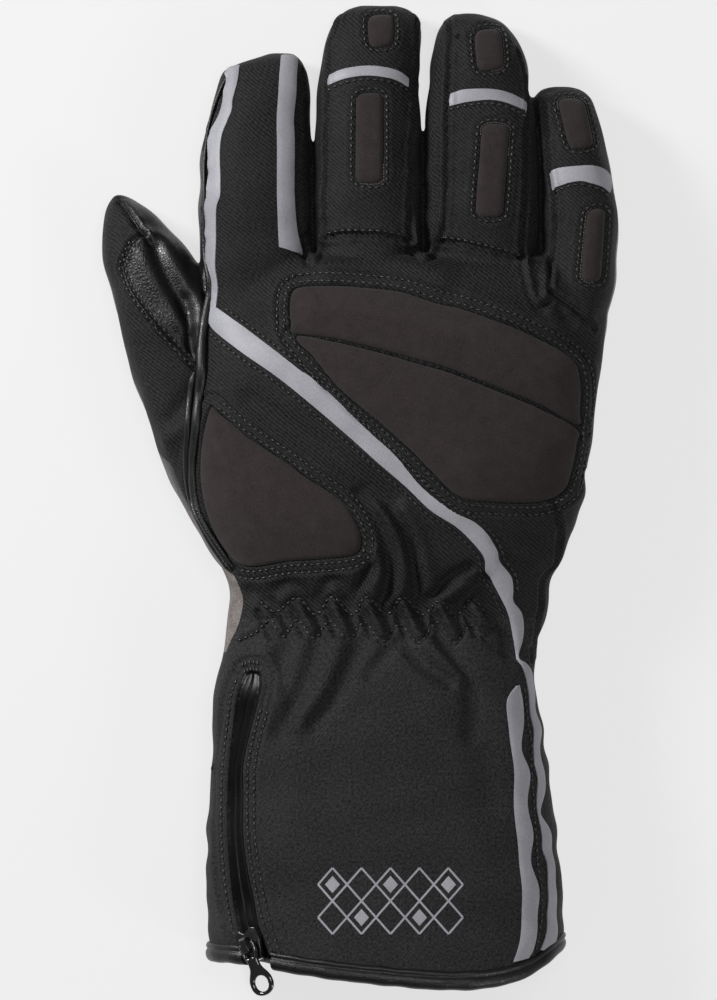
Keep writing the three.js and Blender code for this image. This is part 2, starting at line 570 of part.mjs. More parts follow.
// A long pad with round ends
function capsule({ from, to, wide }, place) {
  const [a, b] = [place(from), place(to)];
  const radius = wide * STRIPE_WIDTH / 2;
  const way = Math.atan2(b[1] - a[1], b[0] - a[0]);
  const end = (centre, start) => steps(-90, 90, 5).map((turn) => {
    const angle = start + turn * DEGREE;
    return [centre[0] + radius * Math.cos(angle), centre[1] + radius * Math.sin(angle)];
  });
  const near = radius / Math.hypot(b[0] - a[0], b[1] - a[1]);
  const ends = near > 0.49 ? [0.49, 0.51] : [near, 1 - near];
  const inner = ends.map((t) => [mix(a[0], b[0], t), mix(a[1], b[1], t)]);
  return [...end(inner[1], way), ...end(inner[0], way + Math.PI)];
}

// The outer surface, moved out by a distance, and the hollow inside it

const FINGER_RINGS = 9;
const bodyPlaces = steps(0, bodyRows.length - 1, 23);
const swell = (grow) => (x, y, up) => grow + (up ? relief(x, y) : 0);
const floor = prism([[-FAR, -FAR], [FAR, -FAR], [FAR, FAR], [-FAR, FAR]], -FAR, 0);

function outer(grow, puff = () => 0) {
  const skin = (x, y, up) => swell(grow)(x, y, up) + (up ? puff(x, y) : 0);
  const body = loft(bodyRows, bodyPlaces, angles(16, 7), skin);
  const corner = prism([fork(0.361, 0.875), [FAR, 0.74 * HAND_LENGTH], [FAR, FAR], fork(0.361, 2)]);
  const parts = [body.subtract(corner)];
  for (const { rows } of Object.values(fingers)) {
    parts.push(loft(rows, steps(0, rows.length - 1, FINGER_RINGS), angles(9, 4), grow));
  }
  parts.push(loft(thumbRows, steps(0, thumbRows.length - 1, FINGER_RINGS), angles(9, 4), grow, thumbPlace));
  return unite(parts);
}

// The hollow has fewer sides than the outside, because nothing shows inside but the mouth
function hollow() {
  const far = (rows) => rows.slice(0, -1).map((row, i, all) => (i < all.length - 1 ? row
    : { ...row, y: row.y - 0.4 * WALL }));
  const body = far(bodyRows);
  const parts = [loft(body, steps(0, body.length - 1, 10), angles(9, 5), -WALL)];
  for (const { rows } of Object.values(fingers)) {
    const inner = far(rows);
    parts.push(loft(inner, steps(0, inner.length - 1, 4), angles(5, 3), -WALL));
  }
  const inner = far(thumbRows);
  parts.push(loft(inner, steps(0, inner.length - 1, 4), angles(5, 3), -WALL, thumbPlace));
  return unite(parts);
}

const skin = outer(0).subtract(floor);
const lining = hollow();
const sewnOn = outer(GAP);
const stripeTop = outer(GAP + STRIPE_THICK);
const patchTop = outer(GAP + PATCH_THICK);
const padTop = outer(GAP + PAD_THICK);

// What the zip, the hem and the thumb leave of the padded walls
const zipSlot = prism(offset(ZIP, GAP));
const gatherSlot = prism(offset(GATHER, GAP));
const wall = skin.subtract(lining).subtract(prism(pastHem(BINDING_WIDTH + GAP)));

// Heights at which the back is sewn to the palm side
const seamLine = (rows) => rows.map((row) => [row.y, row.side]);
const bodySeam = seamLine(bodyRows);
const thumbSeam = [[0, 0.47 * THUMB_HEIGHT]];
function backOf(solid, seam) {
  return solid.intersect(aboveLine(seam.map(([y, z]) => [y, z + WIDE_SEAM / 2])));
}
function palmOf(solid, seam) {
  return solid.subtract(aboveLine(seam.map(([y, z]) => [y, z - WIDE_SEAM / 2])));
}

const cloth = { color: 0x1d1d1f, roughness: 0.9, metalness: 0 };
const leather = { color: 0x18181a, roughness: 0.5, metalness: 0 };
const softshell = { color: 0x322d2b, roughness: 0.95, metalness: 0 };
const reflective = { color: 0x98989d, roughness: 0.6, metalness: 0 };
const suede = { color: 0x8a8078, roughness: 0.95, metalness: 0 };
const tape = { color: 0x141416, roughness: 0.45, metalness: 0 };
const metal = { color: 0x101012, roughness: 0.3, metalness: 0.9 };

const glove = new THREE.Group();
function addPiece(name, solid, finish) {
  const mesh = new THREE.Mesh(geometryOf(largest(solid)), new THREE.MeshStandardMaterial(finish));
  mesh.name = name;
  glove.add(mesh);
  return mesh;
}

// Fingers, each a back and a palm side
const handWall = { rest: wall };
for (const [name, finger] of Object.entries(fingers)) {
  const region = offset(regions[name], -GAP / 2);
  const whole = wall.intersect(prism(region));
  addPiece(`${name}_back`, backOf(whole, seamLine(finger.rows)), cloth);
  addPiece(`${name}_front`, palmOf(whole, seamLine(finger.rows)), leather);
  handWall.rest = handWall.rest.subtract(prism(offset(regions[name], GAP / 2)));
}

// The thumb
const thumbWhole = wall.intersect(prism(offset(regions.thumb, -GAP / 2)));
addPiece('thumb_back', backOf(thumbWhole, thumbSeam), cloth);
addPiece('thumb_front', palmOf(thumbWhole, thumbSeam), leather);
handWall.rest = handWall.rest.subtract(prism(offset(regions.thumb, GAP / 2)));

// Hand and cuff, cut apart at the wrist
const handSide = prism([[-FAR, GAP / 2], [FAR, GAP / 2], [FAR, FAR], [-FAR, FAR]]);
const cuffSide = prism([[-FAR, -FAR], [FAR, -FAR], [FAR, -GAP / 2], [-FAR, -GAP / 2]]);
const back = backOf(handWall.rest, bodySeam).subtract(gatherSlot).subtract(zipSlot);
const palm = palmOf(handWall.rest, bodySeam);
addPiece('hand_back', back.intersect(handSide), cloth);
addPiece('hand_palm', palm.intersect(handSide), leather);
addPiece('cuff_back', back.intersect(cuffSide), cloth);
addPiece('cuff_palm', palm.intersect(cuffSide), leather);

// Elastic wrist: slanted puckers between two rows of zigzag stitches
const RIBS = 7;
const ribZone = { from: -0.100 * CUFF_LENGTH, to: 0.100 * HAND_LENGTH };
function puckers(x, y) {
  const [left, right] = [GATHER[0][0], GATHER[6][0]];
  const turn = ((x - 0.35 * y - left) / (right - left)) * RIBS;
  const fade = smooth(clamp01(1 - Math.abs(2 * (y - ribZone.from) / (ribZone.to - ribZone.from) - 1)));
  return relief(x, y) + RIB_HEIGHT * fade * (0.6 + Math.sin(2 * Math.PI * turn));
}
const ribPlaces = steps(placeOf(bodyRows, 'y', ribZone.from), placeOf(bodyRows, 'y', ribZone.to), 4);
const ribbed = loft(bodyRows, ribPlaces, angles(64, 5), (x, y, up) => (up ? puckers(x, y) : 0));
const gatherBlock = ribbed.subtract(lining).intersect(prism(GATHER));
addPiece('wrist_gather', backOf(gatherBlock, bodySeam), cloth);

// Hem binding, wrapped round the edge of the cuff and open where the zip ends
const hemZone = prism(pastHem(BINDING_WIDTH)).subtract(prism(pastHem(0)));
const thicker = outer(BINDING_PROUD).subtract(floor);
const sliderSpot = onBody([-0.752, -0.885]);
const sliderRoom = (room) => {
  const [w, l] = [SLIDER_WIDTH / 2 + room, SLIDER_LENGTH / 2 + room];
  const turn = SLIDER_TURN * DEGREE;
  return [[-w, -l], [w, -l], [w, l], [-w, l]].map(([x, y]) => [
    sliderSpot[0] + x * Math.cos(turn) - y * Math.sin(turn),
    sliderSpot[1] + x * Math.sin(turn) + y * Math.cos(turn)]);
};
const binding = thicker.subtract(lining).intersect(hemZone).subtract(prism(offset(ZIP, GAP), CUFF_HEIGHT / 2));
addPiece('hem_binding', binding.subtract(prism(sliderRoom(2 * GAP), CUFF_HEIGHT / 2)), leather);

// Zip tape, set in its slot a little below the cloth
const tapeTop = outer(-TAPE_SUNK);
const tapeBlock = tapeTop.subtract(lining).intersect(prism(ZIP)).subtract(prism(pastHem(0)));
addPiece('zip_tape', backOf(tapeBlock, bodySeam), tape);

// Large pads, thickest in the middle of each
function padAt(name, outline, rise) {
  const middle = outline.reduce(([x, y], point) => [x + point[0] / outline.length, y + point[1] / outline.length], [0, 0]);
  const reach = Math.max(...outline.map(([x, y]) => Math.hypot(x - middle[0], y - middle[1])));
  const puff = (x, y) => rise * clamp01(1 - Math.hypot(x - middle[0], y - middle[1]) / reach);
  const block = outer(GAP + PAD_THICK, puff).subtract(sewnOn).intersect(prism(offset(outline, -GAP / 2)));
  addPiece(name, backOf(block, bodySeam), softshell);
}
padAt('knuckle_pad_upper', KNUCKLE_UPPER, PAD_RISE);
padAt('knuckle_pad_lower', KNUCKLE_LOWER, PAD_RISE);
padAt('thumb_side_pad', THUMB_PAD, PAD_RISE);

// Reflective stripes, sewn flat on the cloth
const longPath = ribbon(LONG_STRIPE, onBody, 28);
function stripe(name, outline, seam) {
  const block = stripeTop.subtract(sewnOn).intersect(prism(outline)).subtract(prism(pastHem(BINDING_WIDTH + GAP)));
  addPiece(name, backOf(block, seam), reflective);
}
stripe('long_stripe', longPath, bodySeam);
stripe('cuff_stripe', ribbon(CUFF_STRIPE, onBody, 14), bodySeam);
for (const [name, rows] of Object.entries(INDEX_STRIPES)) {
  const path = ribbon(rows, (point) => onFinger(fingers.index, point), 2 * rows.length);
  stripe(name, path, seamLine(fingers.index.rows));
}
for (const [name, rows] of Object.entries(BANDS)) {
  const path = ribbon(rows, (point) => onFinger(fingers[name], point), 4);
  stripe(`${name}_band`, path, seamLine(fingers[name].rows));
}

// Small pads on the fingers
for (const [kind, pads] of [['tip_pad', TIP_PADS], ['knuckle_pad', KNUCKLE_PADS]]) {
  for (const [name, pad] of Object.entries(pads)) {
    const outline = capsule(pad, (point) => onFinger(fingers[name], point));
    const block = padTop.subtract(sewnOn).intersect(prism(outline));
    addPiece(`${name}_${kind}`, backOf(block, seamLine(fingers[name].rows)), softshell);
  }
}

// Leather patch on the thumb, an almond that narrows to the hand
const THUMB_PATCH = [[-0.02, 0.875], [-0.22, 0.835], [-0.33, 0.790], [-0.335, 0.730], [-0.25, 0.635],
  [-0.13, 0.550], [0.02, 0.480], [0.12, 0.505], [0.24, 0.620], [0.17, 0.705], [0.06, 0.805]];
const patch = patchTop.subtract(sewnOn).intersect(prism(rounded(THUMB_PATCH.map(onThumb), 22)));
const besideHand = prism(offset(regions.thumb, -2 * GAP));
addPiece('thumb_patch', backOf(patch.intersect(besideHand), thumbSeam), leather);

// Rolled leather edge along the thumb side of the hand
const PIPING = [[-0.985, 0.930], [-0.965, 0.865], [-0.965, 0.820], [-0.980, 0.760], [-0.985, 0.650],
  [-0.985, 0.560], [-0.995, 0.480], [-1.000, 0.375], [-0.990, 0.285], [-0.975, 0.205], [-0.940, 0.140],
  [-0.900, 0.095]];
function rolledEdge(radius) {
  const path = new THREE.CatmullRomCurve3(PIPING.map((point) => {
    const [x, y] = onBody(point);
    return new THREE.Vector3(x, y, backHeight(x, y) + 0.2 * PIPING_RADIUS);
  }));
  const circle = new THREE.Shape(steps(0, 7, 7).map((k) => new THREE.Vector2(
    radius * Math.cos((k * Math.PI) / 4), radius * Math.sin((k * Math.PI) / 4))));
  return solidOf(new THREE.ExtrudeGeometry(circle, { steps: 26, extrudePath: path, bevelEnabled: false }));
}
const piping = rolledEdge(PIPING_RADIUS).subtract(sewnOn)
  .subtract(prism(offset(THUMB_PAD, GAP))).subtract(prism(offset(longPath, GAP)));
addPiece('thumb_side_piping', piping, leather);

// Grey suede that comes round from the palm at the wrist
const SUEDE = [[-1.20, 0.300], [-1.012, 0.262], [-0.975, 0.205], [-0.940, 0.150], [-0.915, 0.110],
  [-0.905, 0.075], [-0.900, 0.035], [-0.915, -0.010], [-0.950, -0.055], [-1.20, -0.090]].map(onBody);
const suedePatch = patchTop.subtract(sewnOn).intersect(prism(SUEDE)).subtract(prism(regions.thumb))
  .subtract(floor.translate([0, 0, 0.25 * WRIST_HEIGHT]));
addPiece('suede_patch', suedePatch.subtract(rolledEdge(PIPING_RADIUS + GAP)), suede);

// Tab of webbing that stands out of the cuff's thumb side
const tabSpot = onBody([-1, -0.410]);
const tabBlock = new THREE.BoxGeometry(2 * TAB_WIDTH, TAB_LENGTH, 0.3 * CUFF_HEIGHT);
tabBlock.translate(tabSpot[0], tabSpot[1], 0.44 * CUFF_HEIGHT);
addPiece('cuff_tab', solidOf(tabBlock).subtract(sewnOn), cloth);

// Zip slider with its bridge, and the pull that turns on it. Both are made lying flat and
// then laid on the slope of the cuff.
const slope = (backHeight(sliderSpot[0] + 1, sliderSpot[1]) - backHeight(sliderSpot[0] - 1, sliderSpot[1])) / 2;
const sliderPlace = new THREE.Matrix4().makeRotationY(-Math.atan(slope))
  .multiply(new THREE.Matrix4().makeRotationZ(SLIDER_TURN * DEGREE))
  .setPosition(sliderSpot[0], sliderSpot[1], backHeight(...sliderSpot) + GAP);
const pivotHeight = SLIDER_THICK + BAR_SIZE / Math.SQRT2 + BAR_ROOM;
const bridgeReach = BAR_SIZE / Math.SQRT2 + BAR_ROOM;

function plate(points, thick, holes = []) {
  const shape = new THREE.Shape(points.map(([x, y]) => new THREE.Vector2(x, y)));
  for (const hole of holes) shape.holes.push(new THREE.Path(hole.map(([x, y]) => new THREE.Vector2(x, y))));
  return new THREE.ExtrudeGeometry(shape, { depth: thick, bevelEnabled: false });
}

function sliderSolid() {
  const [w, l] = [SLIDER_WIDTH / 2, SLIDER_LENGTH / 2];
  const base = plate([[-0.62 * w, -l], [0.62 * w, -l], [0.8 * w, -0.5 * l], [w, 0.4 * l], [0.9 * w, 0.85 * l],
    [0.5 * w, l], [0.12 * w, 0.72 * l], [-0.12 * w, 0.72 * l], [-0.5 * w, l], [-0.9 * w, 0.85 * l],
    [-w, 0.4 * l], [-0.8 * w, -0.5 * l]], SLIDER_THICK);
  const [reach, top] = [bridgeReach + BRIDGE_THICK, pivotHeight + bridgeReach + BRIDGE_THICK];
  const low = SLIDER_THICK - 0.2;
  const arch = plate([[-reach, low], [reach, low], [reach, top - 0.6], [reach - 0.8, top], [0.8 - reach, top],
    [-reach, top - 0.6]], BRIDGE_WIDTH,
  [[[-bridgeReach, SLIDER_THICK], [-bridgeReach, top - BRIDGE_THICK], [bridgeReach, top - BRIDGE_THICK],
    [bridgeReach, SLIDER_THICK]]]);
  const turn = new THREE.Matrix4().makeBasis(
    new THREE.Vector3(0, 1, 0), new THREE.Vector3(0, 0, 1), new THREE.Vector3(1, 0, 0));
  const bridge = solidOf(arch.applyMatrix4(turn.setPosition(-BRIDGE_WIDTH / 2, 0, 0)));
  return solidOf(base).add(bridge);
}

function pullSolid() {
  const [w, bar, end] = [PULL_WIDTH / 2, BAR_SIZE / 2, -PULL_LENGTH];
  const tip = steps(0, 180, 8).map((turn) => [-w * Math.cos(turn * DEGREE), end + w - w * Math.sin(turn * DEGREE)]);
  const window = [BRIDGE_WIDTH / 2 + BAR_ROOM, bridgeReach + BRIDGE_THICK + BAR_ROOM + 0.8];
  const hole = steps(0, 315, 7).map((turn) => [
    PULL_HOLE * Math.cos(turn * DEGREE), end + w + 1.25 * PULL_HOLE * Math.sin(turn * DEGREE)]);
  const geometry = plate([[0.86 * w, bar], [-0.86 * w, bar], ...tip], BAR_SIZE,
    [[[-window[0], -bar], [window[0], -bar], [window[0], -window[1]], [-window[0], -window[1]]], hole]);
  const droop = new THREE.Matrix4().makeRotationX(PULL_DROOP * DEGREE).setPosition(0, 0, pivotHeight);
  return solidOf(geometry.translate(0, 0, -bar).applyMatrix4(droop));
}

const placed = (solid) => solidOf(geometryOf(solid).applyMatrix4(sliderPlace));
addPiece('zip_slider', placed(sliderSolid()).subtract(thicker), metal);
addPiece('zip_pull', placed(pullSolid()), metal);

// The origin is under the middle of the glove, on the floor
const box = new THREE.Box3().setFromObject(glove);
const centre = box.getCenter(new THREE.Vector3());
glove.position.set(-centre.x, -centre.y, -box.min.z);
glove.updateMatrixWorld(true);

export default glove;
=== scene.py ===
import math

import bpy
import numpy as np
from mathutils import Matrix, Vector, geometry
from mathutils.bvhtree import BVHTree


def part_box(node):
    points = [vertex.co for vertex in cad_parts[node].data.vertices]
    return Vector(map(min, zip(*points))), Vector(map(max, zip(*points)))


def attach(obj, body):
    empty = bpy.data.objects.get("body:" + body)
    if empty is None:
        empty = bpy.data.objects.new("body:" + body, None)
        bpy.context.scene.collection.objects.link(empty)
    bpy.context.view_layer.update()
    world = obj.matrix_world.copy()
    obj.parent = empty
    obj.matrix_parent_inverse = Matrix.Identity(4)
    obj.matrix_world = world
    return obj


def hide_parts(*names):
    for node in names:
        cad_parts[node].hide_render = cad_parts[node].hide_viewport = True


# A padded textile riding glove with a long cuff, seen from above as it lies palm down.
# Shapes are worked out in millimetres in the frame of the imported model, and made in metres.

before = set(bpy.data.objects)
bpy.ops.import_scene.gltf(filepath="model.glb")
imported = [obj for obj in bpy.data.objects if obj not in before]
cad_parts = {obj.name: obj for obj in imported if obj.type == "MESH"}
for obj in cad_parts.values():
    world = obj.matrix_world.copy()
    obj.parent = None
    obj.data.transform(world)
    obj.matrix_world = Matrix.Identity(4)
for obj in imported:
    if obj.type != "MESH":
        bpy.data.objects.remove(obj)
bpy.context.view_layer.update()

MM = 0.001
SHIFT = np.array([9.965, -36.198, 0.0])   # the wrist's axis, where the tables below start

# The photograph: size in pixels, the pixel over the frame's origin, and a pixel's size
PHOTO = (717, 1000)
ORIGIN_PIXEL = (359.85, 501.2)
PIXEL = 0.31
LEVEL = 30.0             # the height at which a pixel has that size
CAMERA_RISE = 3600.0     # camera above that level
SENSOR = 36.0
MIDDLE = np.array([(PHOTO[0] / 2 - ORIGIN_PIXEL[0]) * PIXEL, (ORIGIN_PIXEL[1] - PHOTO[1] / 2) * PIXEL])
EYE = Vector((MIDDLE[0], MIDDLE[1], LEVEL + CAMERA_RISE))

# Walls and fine sizes
VOXEL = 0.66             # size of the skin's faces
WALL = 3.4               # padded cloth with its lining
DEEPEST = 2.3            # no seam or fold goes deeper than this
BINDING_WIDTH = 4.6
PARTING_GAP = 0.12       # between the back and the palm
STITCH_PITCH = 2.15
STITCH_LENGTH = 1.6
THREAD = 0.8

# Rows of stitches outside the large pads, the small pads and the zip, from their edges
PAD_ROWS = (1.3, 3.6)
SMALL_PAD_ROW = 1.2
TAPE_ROWS = (1.7, 3.9)

# Sizes of the hand, the wrist and the cuff, and their sections. Columns: which of them,
# along (share of the length), left, right (shares of the width), top, side, bottom (shares
# of the height)
CUFF = (114.0, 111.0, 50.0)
WRIST = (114.0, 98.5, 41.0)
HAND = (114.0, 128.0, 45.0)
BODY = [
    (CUFF, -1.06, 0.507, 0.468, 1.01, 0.45, -0.02),
    (CUFF, -0.94, 0.509, 0.471, 1.00, 0.45, -0.02),
    (CUFF, -0.84, 0.514, 0.479, 0.98, 0.45, -0.02),
    (CUFF, -0.73, 0.518, 0.475, 0.97, 0.45, -0.02),
    (CUFF, -0.61, 0.520, 0.465, 0.96, 0.45, -0.02),
    (CUFF, -0.47, 0.508, 0.445, 0.95, 0.45, -0.02),
    (CUFF, -0.33, 0.501, 0.427, 0.94, 0.46, -0.02),
    (CUFF, -0.20, 0.500, 0.404, 0.92, 0.46, -0.02),
    (CUFF, -0.11, 0.475, 0.399, 0.87, 0.46, -0.02),
    (WRIST, 0.00, 0.520, 0.485, 0.98, 0.50, 0.02),
    (WRIST, 0.08, 0.512, 0.498, 1.00, 0.52, 0.02),
    (HAND, 0.16, 0.426, 0.409, 0.95, 0.50, -0.02),
    (HAND, 0.27, 0.472, 0.452, 0.99, 0.52, -0.02),
    (HAND, 0.43, 0.490, 0.478, 1.00, 0.54, -0.02),
    (HAND, 0.59, 0.485, 0.497, 1.00, 0.54, -0.02),
    (HAND, 0.73, 0.471, 0.515, 0.98, 0.52, -0.01),
    (HAND, 0.84, 0.456, 0.522, 0.93, 0.48, 0.02),
    (HAND, 0.92, 0.450, 0.526, 0.86, 0.45, 0.06),
    (HAND, 0.97, 0.440, 0.520, 0.76, 0.42, 0.12),
    (HAND, 0.99, 0.400, 0.480, 0.62, 0.40, 0.22),
]

# Fingers: length, width, axis across and fork along the hand, and the outline from above.
# Columns: along, left, right
FINGERS = {
    "index": (65.2, 34.5, -0.330, 0.970, [
        (-0.33, 0.440, 0.460), (0.00, 0.500, 0.522), (0.20, 0.510, 0.516), (0.40, 0.510, 0.495),
        (0.58, 0.475, 0.495), (0.70, 0.425, 0.490), (0.81, 0.365, 0.482), (0.90, 0.320, 0.468),
        (0.93, 0.265, 0.445), (0.955, 0.150, 0.425), (0.98, -0.010, 0.385), (1.00, -0.130, 0.330)]),
    "middle": (75.0, 33.2, -0.058, 1.015, [
        (-0.31, 0.430, 0.460), (0.00, 0.520, 0.522), (0.18, 0.516, 0.516), (0.36, 0.500, 0.496),
        (0.52, 0.492, 0.490), (0.68, 0.465, 0.480), (0.77, 0.435, 0.490), (0.85, 0.390, 0.500),
        (0.92, 0.325, 0.480), (0.96, 0.255, 0.435), (0.985, 0.180, 0.370), (1.00, 0.075, 0.260)]),
    "ring": (73.4, 36.0, 0.220, 1.005, [
        (-0.34, 0.430, 0.480), (0.00, 0.520, 0.510), (0.21, 0.520, 0.502), (0.42, 0.500, 0.488),
        (0.55, 0.490, 0.450), (0.64, 0.480, 0.415), (0.72, 0.460, 0.405), (0.80, 0.445, 0.375),
        (0.89, 0.405, 0.310), (0.945, 0.355, 0.225), (0.975, 0.300, 0.130), (1.00, 0.220, -0.050)]),
    "little": (65.9, 24.0, 0.454, 0.875, [
        (-0.34, 0.300, 0.020), (0.00, 0.475, 0.445), (0.22, 0.490, 0.495), (0.38, 0.492, 0.505),
        (0.55, 0.505, 0.440), (0.70, 0.555, 0.355), (0.82, 0.595, 0.285), (0.89, 0.605, 0.220),
        (0.945, 0.580, 0.155), (0.985, 0.490, 0.040), (1.00, 0.350, -0.110)]),
}

# The fingers arch over the floor. Columns: along, bottom, side, top (shares of the height)
FINGER_HEIGHT = 27.0
CURL = [
    (-0.34, 0.30, 0.66, 1.30), (0.00, 0.12, 0.66, 1.26), (0.20, 0.15, 0.66, 1.25),
    (0.42, 0.16, 0.64, 1.19), (0.58, 0.11, 0.58, 1.10), (0.72, 0.03, 0.49, 1.01),
    (0.83, -0.02, 0.42, 0.92), (0.90, -0.02, 0.39, 0.83), (0.95, 0.01, 0.37, 0.72),
    (0.985, 0.08, 0.36, 0.58), (1.00, 0.18, 0.36, 0.48)]

# The thumb along its own axis. Columns: along, left, right, top, side, bottom
THUMB_SIZE = (110.8, 28.0, 28.0)
THUMB_LEAN = 23.5
THUMB_ROOT = (-0.315, 0.267)
THUMB = [
    (-0.12, 0.56, 0.30, 0.95, 0.45, 0.10), (-0.05, 0.66, 0.36, 1.04, 0.46, 0.02),
    (0.08, 0.735, 0.44, 1.10, 0.47, -0.02), (0.20, 0.768, 0.50, 1.12, 0.48, -0.02),
    (0.36, 0.730, 0.52, 1.10, 0.48, -0.02), (0.50, 0.690, 0.52, 1.07, 0.48, 0.02),
    (0.65, 0.600, 0.51, 1.04, 0.47, 0.02), (0.78, 0.515, 0.44, 0.98, 0.44, -0.02),
    (0.86, 0.460, 0.32, 0.88, 0.40, -0.02), (0.93, 0.340, 0.21, 0.74, 0.37, 0.03),
    (0.975, 0.220, 0.09, 0.58, 0.35, 0.11), (1.00, 0.080, -0.03, 0.46, 0.34, 0.20)]

TOP_ROUND = 2.35
BOTTOM_ROUND = 3.4

# The hem bows out over the back: across, and along as a share of the cuff
HEM = [(-1.00, -0.930), (-0.80, -0.934), (-0.60, -0.951), (-0.30, -0.972), (0.08, -0.991),
       (0.35, -1.000), (0.60, -0.996), (0.80, -0.972), (0.90, -0.942), (1.00, -0.900)]

# Curves and tables


def curved(rows, place):
    """Rows of a table at places between its rows, on a curve through them"""
    rows = np.asarray(rows, float)
    place = np.atleast_1d(np.asarray(place, float))
    last = len(rows) - 1
    i = np.clip(np.floor(place).astype(int), 0, last - 1)
    t = (place - i)[:, None]
    a, b, c, d = (rows[np.clip(i + k, 0, last)] for k in (-1, 0, 1, 2))
    return b + 0.5 * t * (c - a + t * (2 * a - 5 * b + 4 * c - d + t * (3 * (b - c) + d - a)))


def place_of(rows, column, value):
    """Where the values of a rising column lie, counted in rows"""
    fine = np.linspace(0, len(rows) - 1, 60 * len(rows))
    return np.interp(value, curved(rows, fine)[:, column], fine)


def run_of(line):
    """How far along a line each of its points is"""
    return np.concatenate([[0], np.cumsum(np.linalg.norm(np.diff(line, axis=0), axis=1))])


def sampled(line, own, at):
    """Points of a line at some places, from the places of its own points"""
    return np.stack([np.interp(at, own, line[:, k]) for k in range(line.shape[1])], axis=1)


def unit(vectors):
    return vectors / np.linalg.norm(vectors, axis=-1, keepdims=True)


def spline(points, step, closed=False):
    """A smooth line through a few points, sampled at an even distance"""
    points = np.asarray(points, float)
    if closed:
        padded = np.vstack([points[-2:], points, points[:3]])
        line = curved(padded, np.linspace(2, 2 + len(points), 40 * len(points)))
    else:
        line = curved(points, np.linspace(0, len(points) - 1, 40 * len(points)))
    run = run_of(line)
    count = max(int(round(run[-1] / step)), 2)
    out = sampled(line, run, np.linspace(0, run[-1], count + 1))
    return out[:-1] if closed else out


def smoothstep(value):
    t = np.clip(value, 0, 1)
    return t * t * (3 - 2 * t)


def away_from(points, line):
    """Distance of each point to a densely sampled line"""
    out = np.full(len(points), np.inf)
    for start in range(0, len(line), 60):
        gaps = np.linalg.norm(points[:, None] - line[None, start:start + 60], axis=2)
        out = np.minimum(out, gaps.min(axis=1))
    return out


def inside(points, outline):
    """Which points of a plane lie inside a closed outline"""
    x, y = points[:, 0], points[:, 1]
    out = np.zeros(len(points), bool)
    for (ax, ay), (bx, by) in zip(outline, np.roll(outline, -1, axis=0)):
        if ay == by:
            continue
        cross = (ay > y) != (by > y)
        out ^= cross & (x < ax + (y - ay) * (bx - ax) / (by - ay))
    return out


def inwards(line):
    """Directions into a closed outline from each of its points"""
    ahead = np.roll(line, -1, axis=0) - np.roll(line, 1, axis=0)
    way = unit(np.column_stack([-ahead[:, 1], ahead[:, 0]]))
    return way if inside(line + 0.5 * way, line).mean() > 0.5 else -way


# Sections of the body, fingers and thumb in millimetres: y, left, right, top, side, bottom

body_rows = np.array([
    (along * size[0], -left * size[1], right * size[1], top * size[2], side * size[2], bottom * size[2])
    for size, along, left, right, top, side, bottom in BODY])


def finger_rows(length, width, across, fork, outline):
    rows = []
    for along, left, right in outline:
        _, bottom, side, top = curved(CURL, place_of(CURL, 0, along))[0] * FINGER_HEIGHT
        middle = across * HAND[1]
        rows.append((fork * HAND[0] + along * length, middle - left * width, middle + right * width,
                     top, side, bottom))
    return np.array(rows)


finger_tables = {name: finger_rows(*values) for name, values in FINGERS.items()}
thumb_rows = np.array([
    (along * THUMB_SIZE[0], -left * THUMB_SIZE[1], right * THUMB_SIZE[1],
     top * THUMB_SIZE[2], side * THUMB_SIZE[2], bottom * THUMB_SIZE[2])
    for along, left, right, top, side, bottom in THUMB])
THUMB_TURN = math.radians(THUMB_LEAN)
thumb_root = np.array([THUMB_ROOT[0] * HAND[1], THUMB_ROOT[1] * HAND[0], 0.0])


def turned(points):
    """From the thumb's own axes to the body's"""
    c, s = math.cos(THUMB_TURN), math.sin(THUMB_TURN)
    x, y = points[..., 0], points[..., 1]
    return np.stack([c * x - s * y, s * x + c * y, points[..., 2]], axis=-1) + thumb_root


def ring(here, turns, grow=0.0):
    """Points round a section; grow moves the whole wall out"""
    y, left, right, top, side, bottom = here
    middle, half = (left + right) / 2, (right - left) / 2
    up = np.sin(turns) > 0
    power = 2 / np.where(up, TOP_ROUND, BOTTOM_ROUND)
    wide = np.sign(np.cos(turns)) * np.abs(np.cos(turns)) ** power
    tall = np.sign(np.sin(turns)) * np.abs(np.sin(turns)) ** power
    rise = np.where(up, top - side, side - bottom)
    x = middle + max(half + grow, 0.4) * wide
    z = side + np.maximum(rise + grow, 0.4) * tall
    return np.stack([x, np.full_like(x, y), z], axis=1)


def even_turns(here, count):
    """Angles that set the points of a section at an even distance"""
    fine = np.linspace(0, 2 * math.pi, 721)
    run = run_of(ring(here, fine))
    return np.interp(np.linspace(0, run[-1], count, endpoint=False), run, fine)


def wall_faces(count, sides):
    """Quads between rings of points, from each ring to the next"""
    faces = []
    for i in range(count - 1):
        for j in range(sides):
            k = (j + 1) % sides
            faces.append((i * sides + j, (i + 1) * sides + j, (i + 1) * sides + k, i * sides + k))
    return faces


def tube(rings, flip=False):
    """A closed shell through rings of points: corners and faces"""
    count, sides = len(rings), len(rings[0])
    corners = np.vstack(rings + [rings[0].mean(axis=0)[None], rings[-1].mean(axis=0)[None]])
    faces = wall_faces(count, sides)
    last = (count - 1) * sides
    for j in range(sides):
        k = (j + 1) % sides
        faces += [(count * sides, j, k), (count * sides + 1, last + k, last + j)]
    if flip:
        faces = [face[:1] + face[:0:-1] for face in faces]
    return corners, faces


def loft(rows, count, sides, grow=0.0, place=None):
    """A closed shell lofted through sections"""
    rings = [ring(here, even_turns(here, sides), grow)
             for here in curved(rows, np.linspace(0, len(rows) - 1, count))]
    return tube([place(points) for points in rings] if place else rings)


# Meshes


